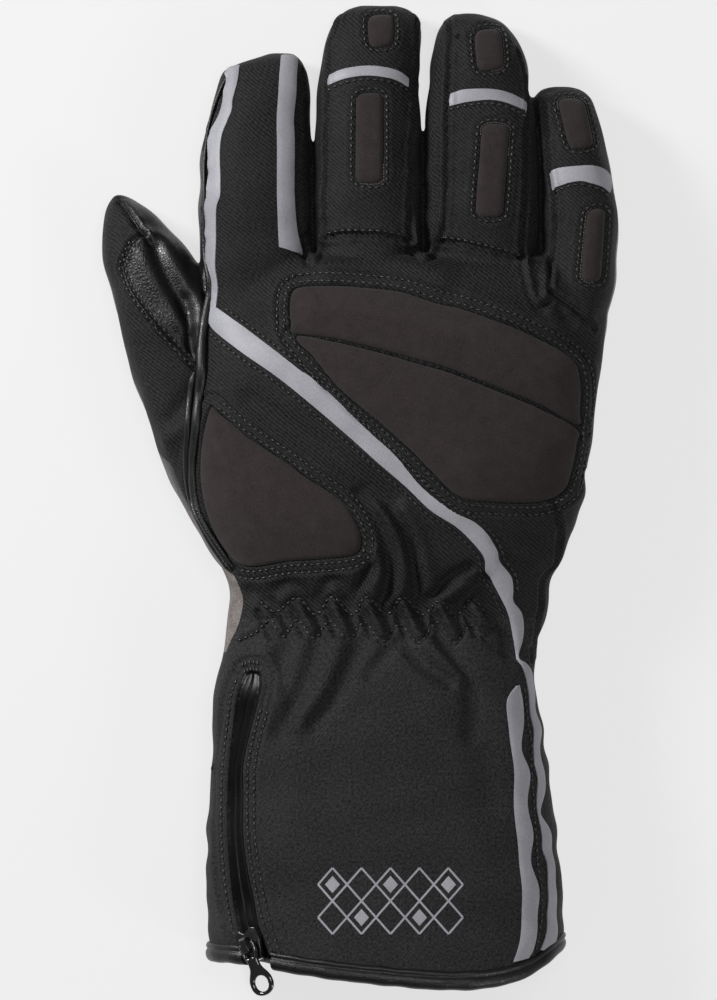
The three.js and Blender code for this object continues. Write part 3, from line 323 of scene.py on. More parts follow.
def mesh_object(name, corners, faces, material_index=0):
    """An object from corners in millimetres"""
    mesh = bpy.data.meshes.new(name)
    mesh.from_pydata((np.asarray(corners) * MM).tolist(), [], [tuple(map(int, face)) for face in faces])
    mesh.validate()
    made = bpy.data.objects.new(name, mesh)
    bpy.context.scene.collection.objects.link(made)
    if material_index:
        mesh.polygons.foreach_set("material_index", np.full(len(mesh.polygons), material_index, np.int32))
    return made


def merged(shells):
    """Several shells as one list of corners and faces"""
    corners, faces, start = [], [], 0
    for points, polygons in shells:
        corners.append(points)
        faces += [tuple(i + start for i in polygon) for polygon in polygons]
        start += len(points)
    return np.vstack(corners), faces


def settled(made):
    """Puts the result of an object's modifiers into its mesh"""
    bpy.context.view_layer.update()
    result = bpy.data.meshes.new_from_object(made.evaluated_get(bpy.context.evaluated_depsgraph_get()))
    old = made.data
    made.modifiers.clear()
    made.data = result
    bpy.data.meshes.remove(old)
    return made


def remove(*objects):
    for each in objects:
        data = each.data
        bpy.data.objects.remove(each)
        if data is not None and data.users == 0:
            bpy.data.meshes.remove(data)


def cut(made, tool, operation):
    modifier = made.modifiers.new("cut", "BOOLEAN")
    modifier.solver = "MANIFOLD"
    modifier.operation = operation
    modifier.object = tool
    return settled(made)


def copy_of(made, name):
    other = bpy.data.objects.new(name, made.data.copy())
    bpy.context.scene.collection.objects.link(other)
    return other


def read(items, key, kind, columns):
    """A property of many items as an array with so many columns"""
    out = np.empty(len(items) * columns, kind)
    items.foreach_get(key, out)
    return out.reshape(-1, columns)


def corner_normals(points, faces):
    """Smooth directions at the corners of a mesh of quads"""
    a, b, c, d = (points[faces[:, k]] for k in range(4))
    face_way = np.cross(c - a, d - b)
    out = np.zeros_like(points)
    for k in range(4):
        for axis in range(3):
            out[:, axis] += np.bincount(faces[:, k], face_way[:, axis], len(points))
    return out / np.maximum(np.linalg.norm(out, axis=1), 1e-12)[:, None]


def smoothed(points, edges, turns, share=0.5):
    """Moves each corner towards the mean of its neighbours"""
    both = np.concatenate([edges[:, 0], edges[:, 1]])
    other = np.concatenate([edges[:, 1], edges[:, 0]])
    count = np.maximum(np.bincount(both, minlength=len(points)), 1)
    for _ in range(turns):
        mean = np.stack([np.bincount(both, points[other, k], len(points)) for k in range(3)], axis=1)
        points = points + share * (mean / count[:, None] - points)
    return points


def pixel_place(pixels):
    """Pixels in millimetres, at the level where the photograph has its scale"""
    return (np.asarray(pixels, float) - ORIGIN_PIXEL) * [PIXEL, -PIXEL]


class Surface:
    """A mesh that lines of sight and places are laid on"""

    def __init__(self, points, faces):
        self.tree = BVHTree.FromPolygons(points.tolist(), faces.tolist())
        self.faces = faces
        self.normals = corner_normals(points, faces)

    def _laid(self, hits):
        """Places on the surface, and its smooth outward directions there"""
        ways = [self.normals[self.faces[index]].mean(axis=0) for _, _, index, _ in hits]
        return np.array([hit[0] for hit in hits]), unit(np.array(ways))

    def seen(self, pixels):
        """Pixels of the photograph carried onto the surface"""
        hits = []
        for x, y in pixel_place(pixels):
            aim = Vector((x, y, LEVEL))
            hit = self.tree.ray_cast(EYE, (aim - EYE).normalized())
            hits.append(self.tree.find_nearest(aim) if hit[0] is None else hit)
        return self._laid(hits)

    def near(self, points):
        """The nearest places of the surface to some points"""
        return self._laid([self.tree.find_nearest(point) for point in points])


# Lines of the photograph, in its pixels

PAD_UPPER = [(303, 286), (335, 285), (366, 287), (400, 291), (434, 302), (460, 308), (487, 317), (512, 326),
             (532, 335), (552, 345), (567, 354), (577, 364), (581, 378), (582, 395), (581, 412), (579, 425),
             (541, 405), (505, 390), (451, 369), (416, 359), (376, 348), (332, 338), (294, 333), (290, 322),
             (289, 305), (292, 291)]
PAD_LOWER = [(296, 336), (332, 341), (376, 351.5), (416, 363), (451, 373), (505, 394), (541, 409), (578, 429),
             (578, 445), (575, 462), (571, 478), (567, 488), (557, 497), (545, 501), (532, 503), (508, 503),
             (487, 502), (472, 501), (460, 497), (448, 488), (434, 474), (407, 447), (380, 422), (341, 390),
             (312, 356)]
PAD_THUMB = [(210, 407), (218, 413), (232, 424), (247, 437), (265, 449), (282, 460), (304, 476), (333, 495),
             (346, 506), (354, 518), (360, 532), (361, 545), (357, 553), (346, 557), (315, 560), (285, 562),
             (256, 567), (240, 565), (228, 556), (214, 535), (205, 512), (200, 488), (199, 464), (202, 435)]
# Small pads of the fingers, by their four corners, which are rounded off
PAD_CORNER = 11.0
SMALL_PADS = {
    "middle_tip_pad": [(367, 15), (394, 14), (394, 46), (369, 48)],
    "middle_knuckle_pad": [(356, 93), (383, 92), (383, 184), (355, 183)],
    "ring_tip_pad": [(474, 30), (501, 28), (505, 69), (477, 72)],
    "ring_knuckle_pad": [(482, 123), (510, 124), (503, 218), (475, 217)],
    "little_tip_pad": [(556, 98), (584, 98), (595, 147), (570, 150)],
    "little_knuckle_pad": [(587, 209), (606, 207), (601, 283), (580, 282)],
}
# Reflective stripes: the left edge of each and its right edge, from end to end
STRIPES = {
    "long_stripe": (
        [(211, 304), (225, 313), (273, 349), (323, 388), (366, 429), (398, 460), (423, 488), (450, 510),
         (473, 521), (488, 535), (497, 550), (500, 561), (511, 576), (513, 589), (513, 601), (521, 614),
         (523, 634), (519, 657), (527, 666), (536, 678), (535, 695), (535, 712), (540, 728), (541, 745),
         (539, 762), (544, 780), (545, 792), (541, 806), (540, 814), (544, 822), (551, 836), (551, 846),
         (554, 858), (553, 880), (557, 900), (557, 925), (553, 950)],
        [(208, 318), (215, 331), (244, 354), (280, 379), (332, 422), (376, 461), (405, 486), (430, 510),
         (455, 526), (473, 543), (484, 558), (486, 573), (496, 589), (508, 614), (513, 639), (516, 656),
         (522, 669), (527, 685), (530, 700), (530, 716), (533, 733), (534, 748), (533, 765), (537, 780),
         (537, 795), (537, 806), (538, 814), (539, 824), (541, 838), (543, 850), (547, 862), (547, 884),
         (549, 903), (547, 925), (540, 950)]),
    "cuff_stripe": (
        [(519, 685), (523, 702), (523, 720), (521, 748), (529, 775), (527, 805), (532, 835), (531, 863),
         (538, 890), (537, 922), (533, 948), (528, 958)],
        [(516, 686), (507, 702), (509, 732), (514, 769), (514, 810), (519, 856), (522, 904), (520, 938),
         (513, 962)]),
    "index_stripe_outer": (
        [(240, 66), (237, 84), (233, 100), (232, 110), (227, 122), (222, 136), (220, 160), (221, 184),
         (221, 196), (217, 212), (216, 260), (218, 285), (217, 308)],
        [(227, 70), (225, 90), (223, 104), (219, 116), (213, 127), (209, 137), (207, 160), (207, 185),
         (208, 196), (206, 212), (206, 250), (208, 280), (212, 306)]),
    "index_stripe_inner": (
        [(297, 58), (296, 80), (294, 120), (294, 160), (294, 200), (297, 230), (302, 255)],
        [(281, 56), (279, 80), (277, 120), (277, 160), (277, 200), (278, 225), (279, 247)]),
    "middle_band": (
        [(408, 78), (400, 72), (388, 68), (368, 66), (350, 68), (337, 72), (328, 79)],
        [(408, 87), (400, 82), (388, 78), (368, 76), (350, 78), (337, 82), (328, 87)]),
    "ring_band": (
        [(526, 104), (515, 96), (502, 91), (489, 89), (475, 89), (462, 90), (451, 94)],
        [(526, 113), (515, 107), (502, 102), (489, 100), (475, 101), (462, 103), (451, 106)]),
    "little_band": (
        [(611, 177), (604, 170), (592, 166), (580, 166), (566, 167), (556, 169), (550, 173)],
        [(609, 193), (602, 187), (590, 183), (580, 181), (568, 183), (560, 186), (553, 190)]),
}
# How far the edges of the stripes on steep cloth are smoothed
EASED = {"long_stripe": 70, "cuff_stripe": 30, "index_stripe_outer": 40, "index_stripe_inner": 30}

# Seams of the back: the line, how deep, how wide, and the height of the shoulders beside it
SEAMS = [
    ([(340, 20), (330, 45), (329, 63), (326, 110), (325, 160), (324, 217), (326, 237)], 1.1, 0.8, 0.35),
    ([(416, 20), (416, 60), (414, 110), (411, 170), (409, 215), (408, 241)], 1.1, 0.8, 0.35),
    ([(327, 237), (345, 234), (372, 234), (392, 236), (408, 240)], 0.9, 0.8, 0.3),
    ([(450, 18), (449, 60), (447, 110), (446, 170), (445, 215), (442, 241)], 1.1, 0.8, 0.35),
    ([(516, 52), (523, 72), (526, 100), (526, 140), (525, 190), (523, 225), (522, 259)], 1.1, 0.8, 0.35),
    ([(442, 241), (460, 243), (486, 249), (505, 254), (523, 260)], 0.9, 0.8, 0.3),
    ([(545, 100), (547, 140), (550, 172), (555, 205), (554, 235), (551, 265), (548, 291)], 1.1, 0.8, 0.35),
    ([(549, 291), (562, 299), (574, 308), (586, 319), (594, 328)], 0.9, 0.8, 0.3),
    ([(303, 70), (301, 100), (300, 150), (300, 200), (303, 230), (306, 257)], 0.9, 0.7, 0.0),
    ([(305, 256), (308, 264), (315, 266), (321, 259), (326, 241)], 0.7, 0.9, 0.1),
    ([(407, 240), (411, 252), (418, 262), (426, 264), (435, 257), (442, 242)], 0.7, 0.9, 0.1),
    ([(522, 260), (525, 277), (530, 296), (538, 308), (547, 304), (550, 291)], 0.7, 0.9, 0.1),
    ([(229, 76), (220, 96), (212, 118), (208, 138), (206, 186), (205, 260), (211, 300)], 0.8, 0.8, 0.2),
    ([(120, 203), (128, 212), (135, 223), (142, 232), (149, 242)], 0.8, 0.8, 0.3),
    ([(545, 480), (560, 530), (556, 560), (543, 590), (536, 640), (537, 660)], 0.9, 1.0, 0.2),
]
# Folds: the line, height (below zero for a valley) and width
FOLD_DEPTH = 1.7
FOLDS = [
    ([(318, 641), (305, 680), (292, 708), (278, 735)], -1.5, 2.6),
    ([(361, 641), (348, 672), (332, 700), (314, 722)], -1.6, 2.8),
    ([(340, 645), (322, 690), (300, 725)], 1.0, 3.0),
    ([(394, 643), (381, 660), (369, 673)], -1.3, 2.2),
    ([(404, 641), (420, 660), (436, 672), (449, 681)], -1.7, 2.2),
    ([(425, 640), (446, 662), (462, 676)], 1.0, 2.6),
    ([(441, 634), (456, 658), (470, 680), (474, 712), (472, 735)], -1.9, 2.6),
    ([(290, 640), (280, 662), (283, 688), (291, 702)], -1.1, 2.6),
    ([(266, 655), (276, 672), (284, 700)], 0.9, 2.8),
    ([(480, 700), (487, 760), (492, 800)], -0.8, 5.0),
    ([(384, 596), (390, 572), (386, 545), (376, 518), (358, 494)], -1.7, 1.7),
    ([(418, 596), (413, 560), (405, 530), (388, 504), (368, 488)], -1.7, 1.7),
    ([(400, 598), (404, 566), (396, 536), (380, 508)], 1.2, 1.9),
    ([(430, 590), (426, 560), (416, 532), (402, 510)], 0.9, 2.4),
    ([(374, 598), (379, 574), (376, 550)], 1.0, 1.8),
    ([(424, 606), (436, 592), (454, 576), (468, 568)], -1.6, 1.7),
    ([(436, 606), (448, 594), (464, 584)], 0.9, 1.8),
    ([(457, 612), (467, 598), (484, 582)], -1.8, 1.7),
    ([(352, 604), (358, 588), (370, 568)], -1.6, 1.7),
    ([(362, 606), (368, 590), (374, 580)], 0.8, 1.8),
    ([(318, 605), (323, 590), (331, 581), (342, 585), (350, 604)], -1.0, 1.9),
    ([(274, 592), (288, 584), (302, 590), (310, 601)], -1.0, 2.0),
    ([(250, 592), (262, 598), (272, 610)], -1.0, 2.0),
    ([(483, 582), (492, 606), (505, 632), (510, 652)], -1.8, 2.0),
    ([(486, 630), (498, 645), (514, 655)], -1.2, 2.4),
    ([(330, 270), (372, 262), (410, 268), (440, 280)], 1.2, 5.0),
    ([(470, 300), (520, 318), (552, 330)], 0.9, 4.5),
    ([(560, 318), (575, 335), (587, 352)], -1.2, 2.2),
    ([(550, 312), (562, 322), (576, 330)], 1.0, 2.2),
    ([(304, 238), (308, 253), (314, 259), (320, 253), (324, 236)], 0.7, 1.4),
    ([(411, 222), (413, 243), (418, 255), (424, 258), (431, 254), (437, 243), (441, 226)], 0.8, 1.5),
    ([(525, 262), (529, 284), (534, 298), (540, 301), (546, 295), (549, 278)], 0.8, 1.5),
    ([(250, 400), (290, 425), (330, 452), (368, 480), (392, 500)], -1.0, 3.2),
    ([(500, 540), (525, 545), (556, 548)], -0.7, 3.0),
    ([(508, 560), (530, 575), (545, 585)], -0.8, 3.0),
    ([(172, 420), (186, 400), (196, 392)], -0.9, 3.0),
    ([(168, 440), (180, 425), (192, 418)], 0.7, 3.0),
]
# The elastic wrist: its two rows of zigzag stitches, and its puffs, each from a peak of the upper
# row to a valley of the lower one
UPPER_ZIGZAG = [(262, 603), (276, 612), (297, 598), (316, 615), (332, 597), (352, 615), (367, 597),
                (386, 615), (403, 597), (422, 615), (440, 601), (455, 617), (472, 599), (486, 615)]
LOWER_ZIGZAG = [(240, 640), (255, 633), (271, 620), (282, 637), (298, 620), (314, 638), (330, 621),
                (348, 639), (365, 622), (382, 641), (400, 624), (419, 643), (437, 622), (454, 643),
                (471, 625), (487, 639)]
PUFFS = [(262, 603, 282, 635), (297, 600, 314, 634), (332, 600, 347, 635), (367, 600, 383, 637),
         (403, 600, 419, 639), (440, 603, 454, 639), (472, 602, 487, 635)]

# Zip: edges of its tape from the wrist to the hem
TAPE_LEFT = [(247, 672), (241, 684), (237, 697), (232, 735), (228, 778), (227, 824), (229, 860), (232, 893),
             (236, 918), (242, 940), (248, 958)]
TAPE_RIGHT = [(259, 672), (261, 686), (255, 710), (249, 732), (244, 756), (242, 778), (242, 824), (244, 850),
              (247, 870), (251, 895), (256, 918), (262, 940), (268, 958)]

# Leather of the thumb: its boundary on the textile, and a loop round its far side
THUMB_SEAM = [(121, 199), (125, 207), (130, 215), (136, 224), (143, 234)]
ALMOND = [(143, 234), (130, 243), (124, 255), (121, 264), (122, 273), (131, 294), (151, 321), (173, 346),
          (191, 364), (200, 372)]
VALLEY = [(155, 246), (160, 259), (170, 280), (180, 297), (187, 310)]
CROTCH_VALLEY = [(184, 300), (189, 325), (192, 350), (196, 366)]
CROTCH_ROLL = [(196, 270), (200, 292), (199, 320), (198, 345), (200, 366)]
# Welts of rolled leather along the thumb side: the main one, the one beside it, and the edge
# of the index finger
PIPING = [(205, 250), (207, 264), (211, 280), (211, 293), (208, 308), (204, 325), (202, 347), (202, 362),
          (203, 376), (200, 397), (197, 425), (194, 452), (194, 480), (198, 507), (207, 527), (219, 547),
          (234, 567)]
SECOND_ROLL = [(194, 372), (191, 388), (189, 410), (187, 440), (187, 468), (191, 497), (199, 518),
               (211, 541), (225, 562), (233, 572)]
INDEX_WELT = [(226, 78), (219, 95), (212, 115), (208, 136), (205, 160), (205, 190), (204, 220)]
WELT_RADII = [0.5] * 6 + [0.6, 0.8, 1.0, 1.2, 1.4, 1.6, 1.75, 1.8, 1.75, 1.65, 1.55, 1.5, 1.5, 1.4, 1.3,
                          1.2, 1.0]
SUEDE = [(196, 512), (203, 527), (212, 543), (222, 558), (232, 572), (239, 586), (243, 600), (241, 615),
         (237, 628), (231, 640), (226, 652)]
BAR_TACKS = [[(243, 664), (245, 671)], [(246, 663), (248, 670)], [(250, 662), (251, 669)],
             [(254, 662), (254, 669)], [(258, 663), (257, 670)]]

# A band of lozenges printed on the cuff: its corner, a lozenge's size, how many across and down,
# and the width of a printed line, in pixels
PRINT_CORNER = (318, 868)
LOZENGE = (29.0, 33.0)
LOZENGES = (5, 2)
PRINT_LINE = 2.0
PRINT_FILL = 0.52     # of a filled lozenge's size


# The skin: lofts joined, made into one fine mesh, and smoothed

shells = [loft(body_rows, 140, 130)]
shells += [loft(rows, 64, 64) for rows in finger_tables.values()]
shells += [loft(thumb_rows, 72, 64, place=turned)]
corners, faces = merged(shells)
skin = mesh_object("skin", corners + SHIFT, faces)
remesh = skin.modifiers.new("fine", "REMESH")
remesh.mode = "VOXEL"
remesh.voxel_size = VOXEL * MM
settled(skin)

skin_points = read(skin.data.vertices, "co", float, 3) / MM
skin_faces = read(skin.data.polygons, "vertices", np.int64, 4)
skin_edges = read(skin.data.edges, "vertices", np.int64, 2)
skin_points = smoothed(skin_points, skin_edges, 8)
base = Surface(skin_points, skin_faces)
skin_ways = base.normals

# Where each point of the skin shows in the photograph
shrink = CAMERA_RISE / (CAMERA_RISE + LEVEL - skin_points[:, 2:])
skin_pixels = ORIGIN_PIXEL + (MIDDLE + (skin_points[:, :2] - MIDDLE) * shrink) / [PIXEL, -PIXEL]
facing = skin_ways[:, 2] > 0.0
offset = np.zeros(len(skin_points))


def near_line(line, reach):
    """Points of the skin near a line: which, how far away, and how far along"""
    run = run_of(line)
    best = np.full(len(skin_points), np.inf)
    along = np.zeros(len(skin_points))
    for start in range(0, len(line), 24):
        part = line[start:start + 25]
        low, high = part.min(axis=0) - reach, part.max(axis=0) + reach
        pick = np.flatnonzero(((skin_points > low) & (skin_points < high)).all(axis=1))
        if not len(pick):
            continue
        gaps = np.linalg.norm(skin_points[pick, None] - part[None], axis=2)
        nearest = gaps.argmin(axis=1)
        gap = gaps[np.arange(len(pick)), nearest]
        better = gap < best[pick]
        best[pick[better]] = gap[better]
        along[pick[better]] = run[start + nearest[better]]
    pick = np.flatnonzero(best < reach)
    return pick, best[pick], along[pick]


def laid(pixels, step=0.35):
    """A line of the photograph laid on the smooth skin"""
    return base.seen(spline(pixels, step / PIXEL))[0]


def groove(line, depth, width, shoulder=0.0, pucker=0.0, pitch=7.0):
    """A sewn line: a valley, shoulders beside it and puckers along it"""
    pick, away, along = near_line(line, 5 * width)
    shape = -depth * np.exp(-(away / width) ** 2)
    shape += shoulder * np.exp(-((away - 2.1 * width) / (1.1 * width)) ** 2)
    wave = np.sin(2 * math.pi * along / pitch) + 0.5 * np.sin(2 * math.pi * along / (0.61 * pitch) + 1.3)
    shape += pucker * wave * np.exp(-((away - 1.6 * width) / (1.8 * width)) ** 2)
    offset[pick] += shape


def raised(pixels, height, width, reach):
    """A ridge along a line of the photograph, or a valley where the height is below zero"""
    pick, away, _ = near_line(laid(pixels), reach)
    offset[pick] += height * np.exp(-(away / width) ** 2)


# Seams and folds
for pixels, depth, width, shoulder in SEAMS:
    groove(laid(pixels), 1.5 * depth, width, 1.6 * shoulder, 0.15)
for pixels, height, width in FOLDS:
    raised(pixels, FOLD_DEPTH * height, width, 3 * width)

# Puffs of the elastic wrist, with a valley on each side
for ax, ay, bx, by in PUFFS:
    puff = laid([(ax, ay), ((ax + bx) / 2, (ay + by) / 2), (bx, by)])
    pick, away, along = near_line(puff, 9)
    ends = np.sin(np.clip(along / along.max(), 0, 1) * math.pi) ** 0.5
    offset[pick] += ends * (2.4 * np.exp(-(away / 1.45) ** 2) - 3.2 * np.exp(-((away - 3.1) / 1.0) ** 2))
for zigzag in (UPPER_ZIGZAG, LOWER_ZIGZAG):
    raised(zigzag, -1.3, 0.8, 3)


def around(outline, recess, rows, deep=0.55):
    """The cloth round a pad: recessed under it, with a lip and rows of stitches outside"""
    line = spline(outline, 1.0, closed=True)
    low, high = line.min(axis=0) - 24, line.max(axis=0) + 24
    pick = np.flatnonzero(facing & ((skin_pixels > low) & (skin_pixels < high)).all(axis=1))
    away = away_from(skin_pixels[pick], line) * PIXEL
    out = np.where(inside(skin_pixels[pick], line), -away, away)
    shape = -recess * smoothstep(0.5 - out / 1.2)
    shape += 0.35 * np.exp(-((out - 1.0) / 0.6) ** 2)
    for row in rows:
        shape -= deep * np.exp(-((out - row) / 0.5) ** 2)
    shape += 0.3 * np.exp(-((out - rows[-1] - 1.4) / 0.9) ** 2)
    offset[pick] += shape * smoothstep((skin_ways[pick, 2] - 0.25) / 0.35)


def rounded(corners, radius):
    """An outline through corners that are rounded off"""
    corners = np.array(corners, float)
    out = []
    for before, here, after in zip(np.roll(corners, 1, axis=0), corners, np.roll(corners, -1, axis=0)):
        ways = unit(np.array([before - here, after - here]))
        out += [here + radius * (a * ways[0] + b * ways[1])
                for a, b in ((1, 0), (0.42, 0.10), (0.10, 0.42), (0, 1))]
    return out


# Beds of the pads, and the zip's slot, with turned edges and two rows of stitches on each side
small_outlines = {name: rounded(corners, PAD_CORNER) for name, corners in SMALL_PADS.items()}
for outline in (PAD_UPPER, PAD_LOWER, PAD_THUMB):
    around(outline, 1.5, PAD_ROWS)
for outline in small_outlines.values():
    around(outline, 0.6, (SMALL_PAD_ROW,), 0.3)
around(TAPE_LEFT + TAPE_RIGHT[::-1], 1.0, TAPE_ROWS)

# The thumb: a piped seam round the leather, the valley between its two lobes, and the roll of
# leather in its crotch
for pixels, depth, width, shoulder in ((ALMOND, 1.2, 0.8, 0.4), (THUMB_SEAM, 0.5, 1.2, 0.2),
                                       (VALLEY, 2.4, 2.2, 0.6), (CROTCH_VALLEY, 2.2, 1.5, 0.3)):
    groove(laid(pixels), depth, width, shoulder)
raised(CROTCH_ROLL, 1.4, 2.4, 8)

# Soft unevenness of padded cloth, from a few long waves
uneven = np.zeros(len(skin_points))
rng = np.random.default_rng(7)
for _ in range(26):
    way = rng.normal(size=3)
    way *= rng.uniform(0.15, 0.55) / np.linalg.norm(way)
    uneven += np.sin(skin_points @ way + rng.uniform(0, 6.28)) * rng.uniform(0.3, 1.0)
offset += 0.075 * uneven

# Waves of the two long sides, where seams draw the cloth in
along_side = 2 * math.pi * skin_points[:, 1]
side_wave = np.sin(along_side / 17 + 2 * math.pi * 3 / 17) + 0.6 * np.sin(along_side / 10.5)
right_side = smoothstep((skin_points[:, 0] - 48) / 10) * (skin_points[:, 1] < 10)
left_side = smoothstep((-42 - skin_points[:, 0]) / 8) * (skin_points[:, 1] < -45)
offset += 0.3 * side_wave * (right_side + left_side)

# No valley goes deeper than the wall allows
offset = np.where(offset < 0, -DEEPEST * np.tanh(-offset / DEEPEST), offset)
dressed_points = smoothed(skin_points + offset[:, None] * skin_ways, skin_edges, 1, 0.35)
dressed_points[:, 2] = np.maximum(dressed_points[:, 2], 0.0)
skin.data.vertices.foreach_set("co", (dressed_points * MM).ravel())
skin.data.update()
dressed = Surface(dressed_points, skin_faces)

# The hollow inside, and what lies past the hem


def without_tip(rows):
    """Sections of the hollow, which ends a little before the tip"""
    out = rows[:-1].copy()
    out[-1, 0] -= 0.4 * WALL
    return out


inner = [loft(without_tip(body_rows), 60, 64, -WALL)]
inner += [loft(without_tip(rows), 24, 28, -WALL) for rows in finger_tables.values()]
inner += [loft(without_tip(thumb_rows), 24, 28, -WALL, turned)]
hollow, *others = [mesh_object("hollow", points + SHIFT, polygons, 1) for points, polygons in inner]
for part in others:
    cut(hollow, part, "UNION")
    remove(part)


def on_body(across, along):
    """From shares across and along the body to millimetres"""
    y = along * (CUFF[0] if along < 0 else HAND[0])
    here = curved(body_rows, place_of(body_rows, 0, y))[0]
    return np.array([here[1] + (here[2] - here[1]) * (across + 1) / 2, y])


hem_line = spline([on_body(*point) for point in HEM], 1.0) + SHIFT[:2]


def hem_y(x):
    return np.interp(x, hem_line[:, 0], hem_line[:, 1])


FAR = 400.0
LOW, HIGH = -50.0, 120.0     # floor and ceiling of the solids that cut regions out


def prism(outline):
    """An upright solid over an outline, as corners and faces"""
    outline = np.asarray(outline, float)
    x, y = outline.T
    if np.sum(x * np.roll(y, -1) - np.roll(x, -1) * y) < 0:
        outline = outline[::-1]
    count = len(outline)
    corners = np.vstack([np.column_stack([outline, np.full(count, z)]) for z in (LOW, HIGH)])
    faces = [tuple(range(count))[::-1], tuple(range(count, 2 * count))]
    faces += [(i, (i + 1) % count, count + (i + 1) % count, count + i) for i in range(count)]
    return corners, faces


def split(made, name, outline, within=True):
    """Takes what lies within an outline, or outside it, off a mesh as a piece of its own"""
    tool = mesh_object("region", *prism(outline))
    piece = copy_of(made, name)
    cut(piece, tool, "INTERSECT" if within else "DIFFERENCE")
    cut(made, tool, "DIFFERENCE" if within else "INTERSECT")
    remove(tool)
    return piece


# The cloth ends under the binding of the hem
edge = hem_line + [0, BINDING_WIDTH - 0.6]
past_hem = np.vstack([[-FAR, edge[0, 1]], edge, [FAR, edge[-1, 1]], [FAR, -FAR], [-FAR, -FAR]])
hem_tool = mesh_object("past_hem", *prism(past_hem))
cut(skin, hollow, "DIFFERENCE")
cut(skin, hem_tool, "DIFFERENCE")
remove(hem_tool, hollow)

# The parting between back and palm: a height over the floor for each place, drawn up on the
# index finger's outer side, where leather comes round
PART_STEP = 2.0
part_x = np.arange(-96, 96.1, PART_STEP)
part_y = np.arange(-170, 170.1, PART_STEP)


def side_height(x, y):
    """Height of the widest place of the finger or body at a place"""
    lx, ly = x - SHIFT[0], y - SHIFT[1]
    best = np.interp(ly, body_rows[:, 0], body_rows[:, 4])
    for rows in finger_tables.values():
        left = np.interp(ly, rows[:, 0], rows[:, 1])
        right = np.interp(ly, rows[:, 0], rows[:, 2])
        side = np.interp(ly, rows[:, 0], rows[:, 4])
        here = (ly > rows[2, 0]) & (lx > left - 2) & (lx < right + 2)
        best = np.where(here, side, best)
    c, s = math.cos(THUMB_TURN), math.sin(THUMB_TURN)
    tx, ty = lx - thumb_root[0], ly - thumb_root[1]
    u, v = c * tx + s * ty, -s * tx + c * ty     # across and along the thumb
    on_thumb = (v > 30) & (u < np.interp(v, thumb_rows[:, 0], thumb_rows[:, 2]) + 1) & (lx < -52)
    best = np.where(on_thumb, np.interp(v, thumb_rows[:, 0], thumb_rows[:, 4]), best)
    # The palm's leather reaches higher at the outer sides of the index and little fingers
    index_rise = smoothstep((-46.5 - x) / 3) * (y > 50) * (~on_thumb) * 5.0
    little_rise = smoothstep((x - 74.5) / 3) * smoothstep((y - 30) / 20) * 4.0
    return best + index_rise + little_rise


grid_x, grid_y = np.meshgrid(part_x, part_y, indexing="ij")
grid_z = side_height(grid_x.ravel(), grid_y.ravel()).reshape(grid_x.shape)
for _ in range(3):
    padded_z = np.pad(grid_z, 1, mode="edge")
    grid_z = (padded_z[:-2, 1:-1] + padded_z[2:, 1:-1] + padded_z[1:-1, :-2] + padded_z[1:-1, 2:]
              + 2 * grid_z) / 6


def slab(raise_by, up):
    """Everything above (or below) the parting, as corners and faces"""
    rows, columns = grid_z.shape
    surface = np.stack([grid_x, grid_y, grid_z + raise_by], axis=-1).reshape(-1, 3)
    flat = surface.copy()
    flat[:, 2] = HIGH if up else LOW
    count = rows * columns
    quads = [(i * columns + j, (i + 1) * columns + j, (i + 1) * columns + j + 1, i * columns + j + 1)
             for i in range(rows - 1) for j in range(columns - 1)]
    faces = [quad[::-1] if up else quad for quad in quads]
    faces += [tuple(k + count for k in (quad if up else quad[::-1])) for quad in quads]
    rim = [i * columns for i in range(rows)] + [(rows - 1) * columns + j for j in range(1, columns)]
    rim += [i * columns + columns - 1 for i in range(rows - 2, -1, -1)]
    rim += list(range(columns - 2, 0, -1))
    for a, b in zip(rim, rim[1:] + rim[:1]):
        faces.append((a, b, b + count, a + count) if up else (a, a + count, b + count, b))
    return np.vstack([surface, flat]), faces


def region(line, *corners):
    """An outline along a line of pixels on the smooth skin, and round by far corners"""
    seen = base.seen(line)[0][:, :2]
    return np.vstack([seen, pixel_place(corners)]) if corners else seen


# Suede of the palm comes round the wrist on the thumb side
suede = split(skin, "suede_patch_nap", region(spline(SUEDE, 2), (120, 660), (120, 500)))

upper_tool = mesh_object("above", *slab(PARTING_GAP / 2, True))
lower_tool = mesh_object("below", *slab(-PARTING_GAP / 2, False))
back = copy_of(skin, "hand_back_cloth")
cut(back, upper_tool, "INTERSECT")
palm = skin
palm.name = "hand_palm_leather"
cut(palm, lower_tool, "INTERSECT")
remove(upper_tool, lower_tool)

# Regions seen from above, taken off the back: the thumb, its leather with the lobe beside it, and
# the leather of the welt
thumb = split(back, "thumb_textile", region(
    spline(PIPING, 3), (240, 600), (150, 660), (40, 500), (40, 150), (203, 150)))
thumb_leather = split(thumb, "thumb_leather", region(
    spline(THUMB_SEAM[:-1] + ALMOND, 2), (250, 372), (250, 150), (112, 150), (117, 190)))
patch_edge = spline([(143, 235), (151, 239)] + VALLEY + CROTCH_VALLEY[1:] + [(200, 372)], 2)
patch = region(np.vstack([patch_edge, spline(ALMOND, 2)[::-1][1:-1]]))
thumb_roll = split(thumb_leather, "thumb_roll_leather", patch, within=False)
welt = split(thumb, "thumb_side_welt", region(
    spline([(204, 366), (200, 368), (195, 369)] + SECOND_ROLL[1:], 3), (250, 590), (300, 500), (260, 366)))

# The cuff, taken off the hand at the wrist
wrist_y = SHIFT[1]
below_wrist = [(-FAR, wrist_y), (FAR, wrist_y), (FAR, -FAR), (-FAR, -FAR)]
cuff_back = split(back, "cuff_back_cloth", below_wrist)
cuff_palm = split(palm, "cuff_palm_cloth", below_wrist)


# Pieces laid on the skin


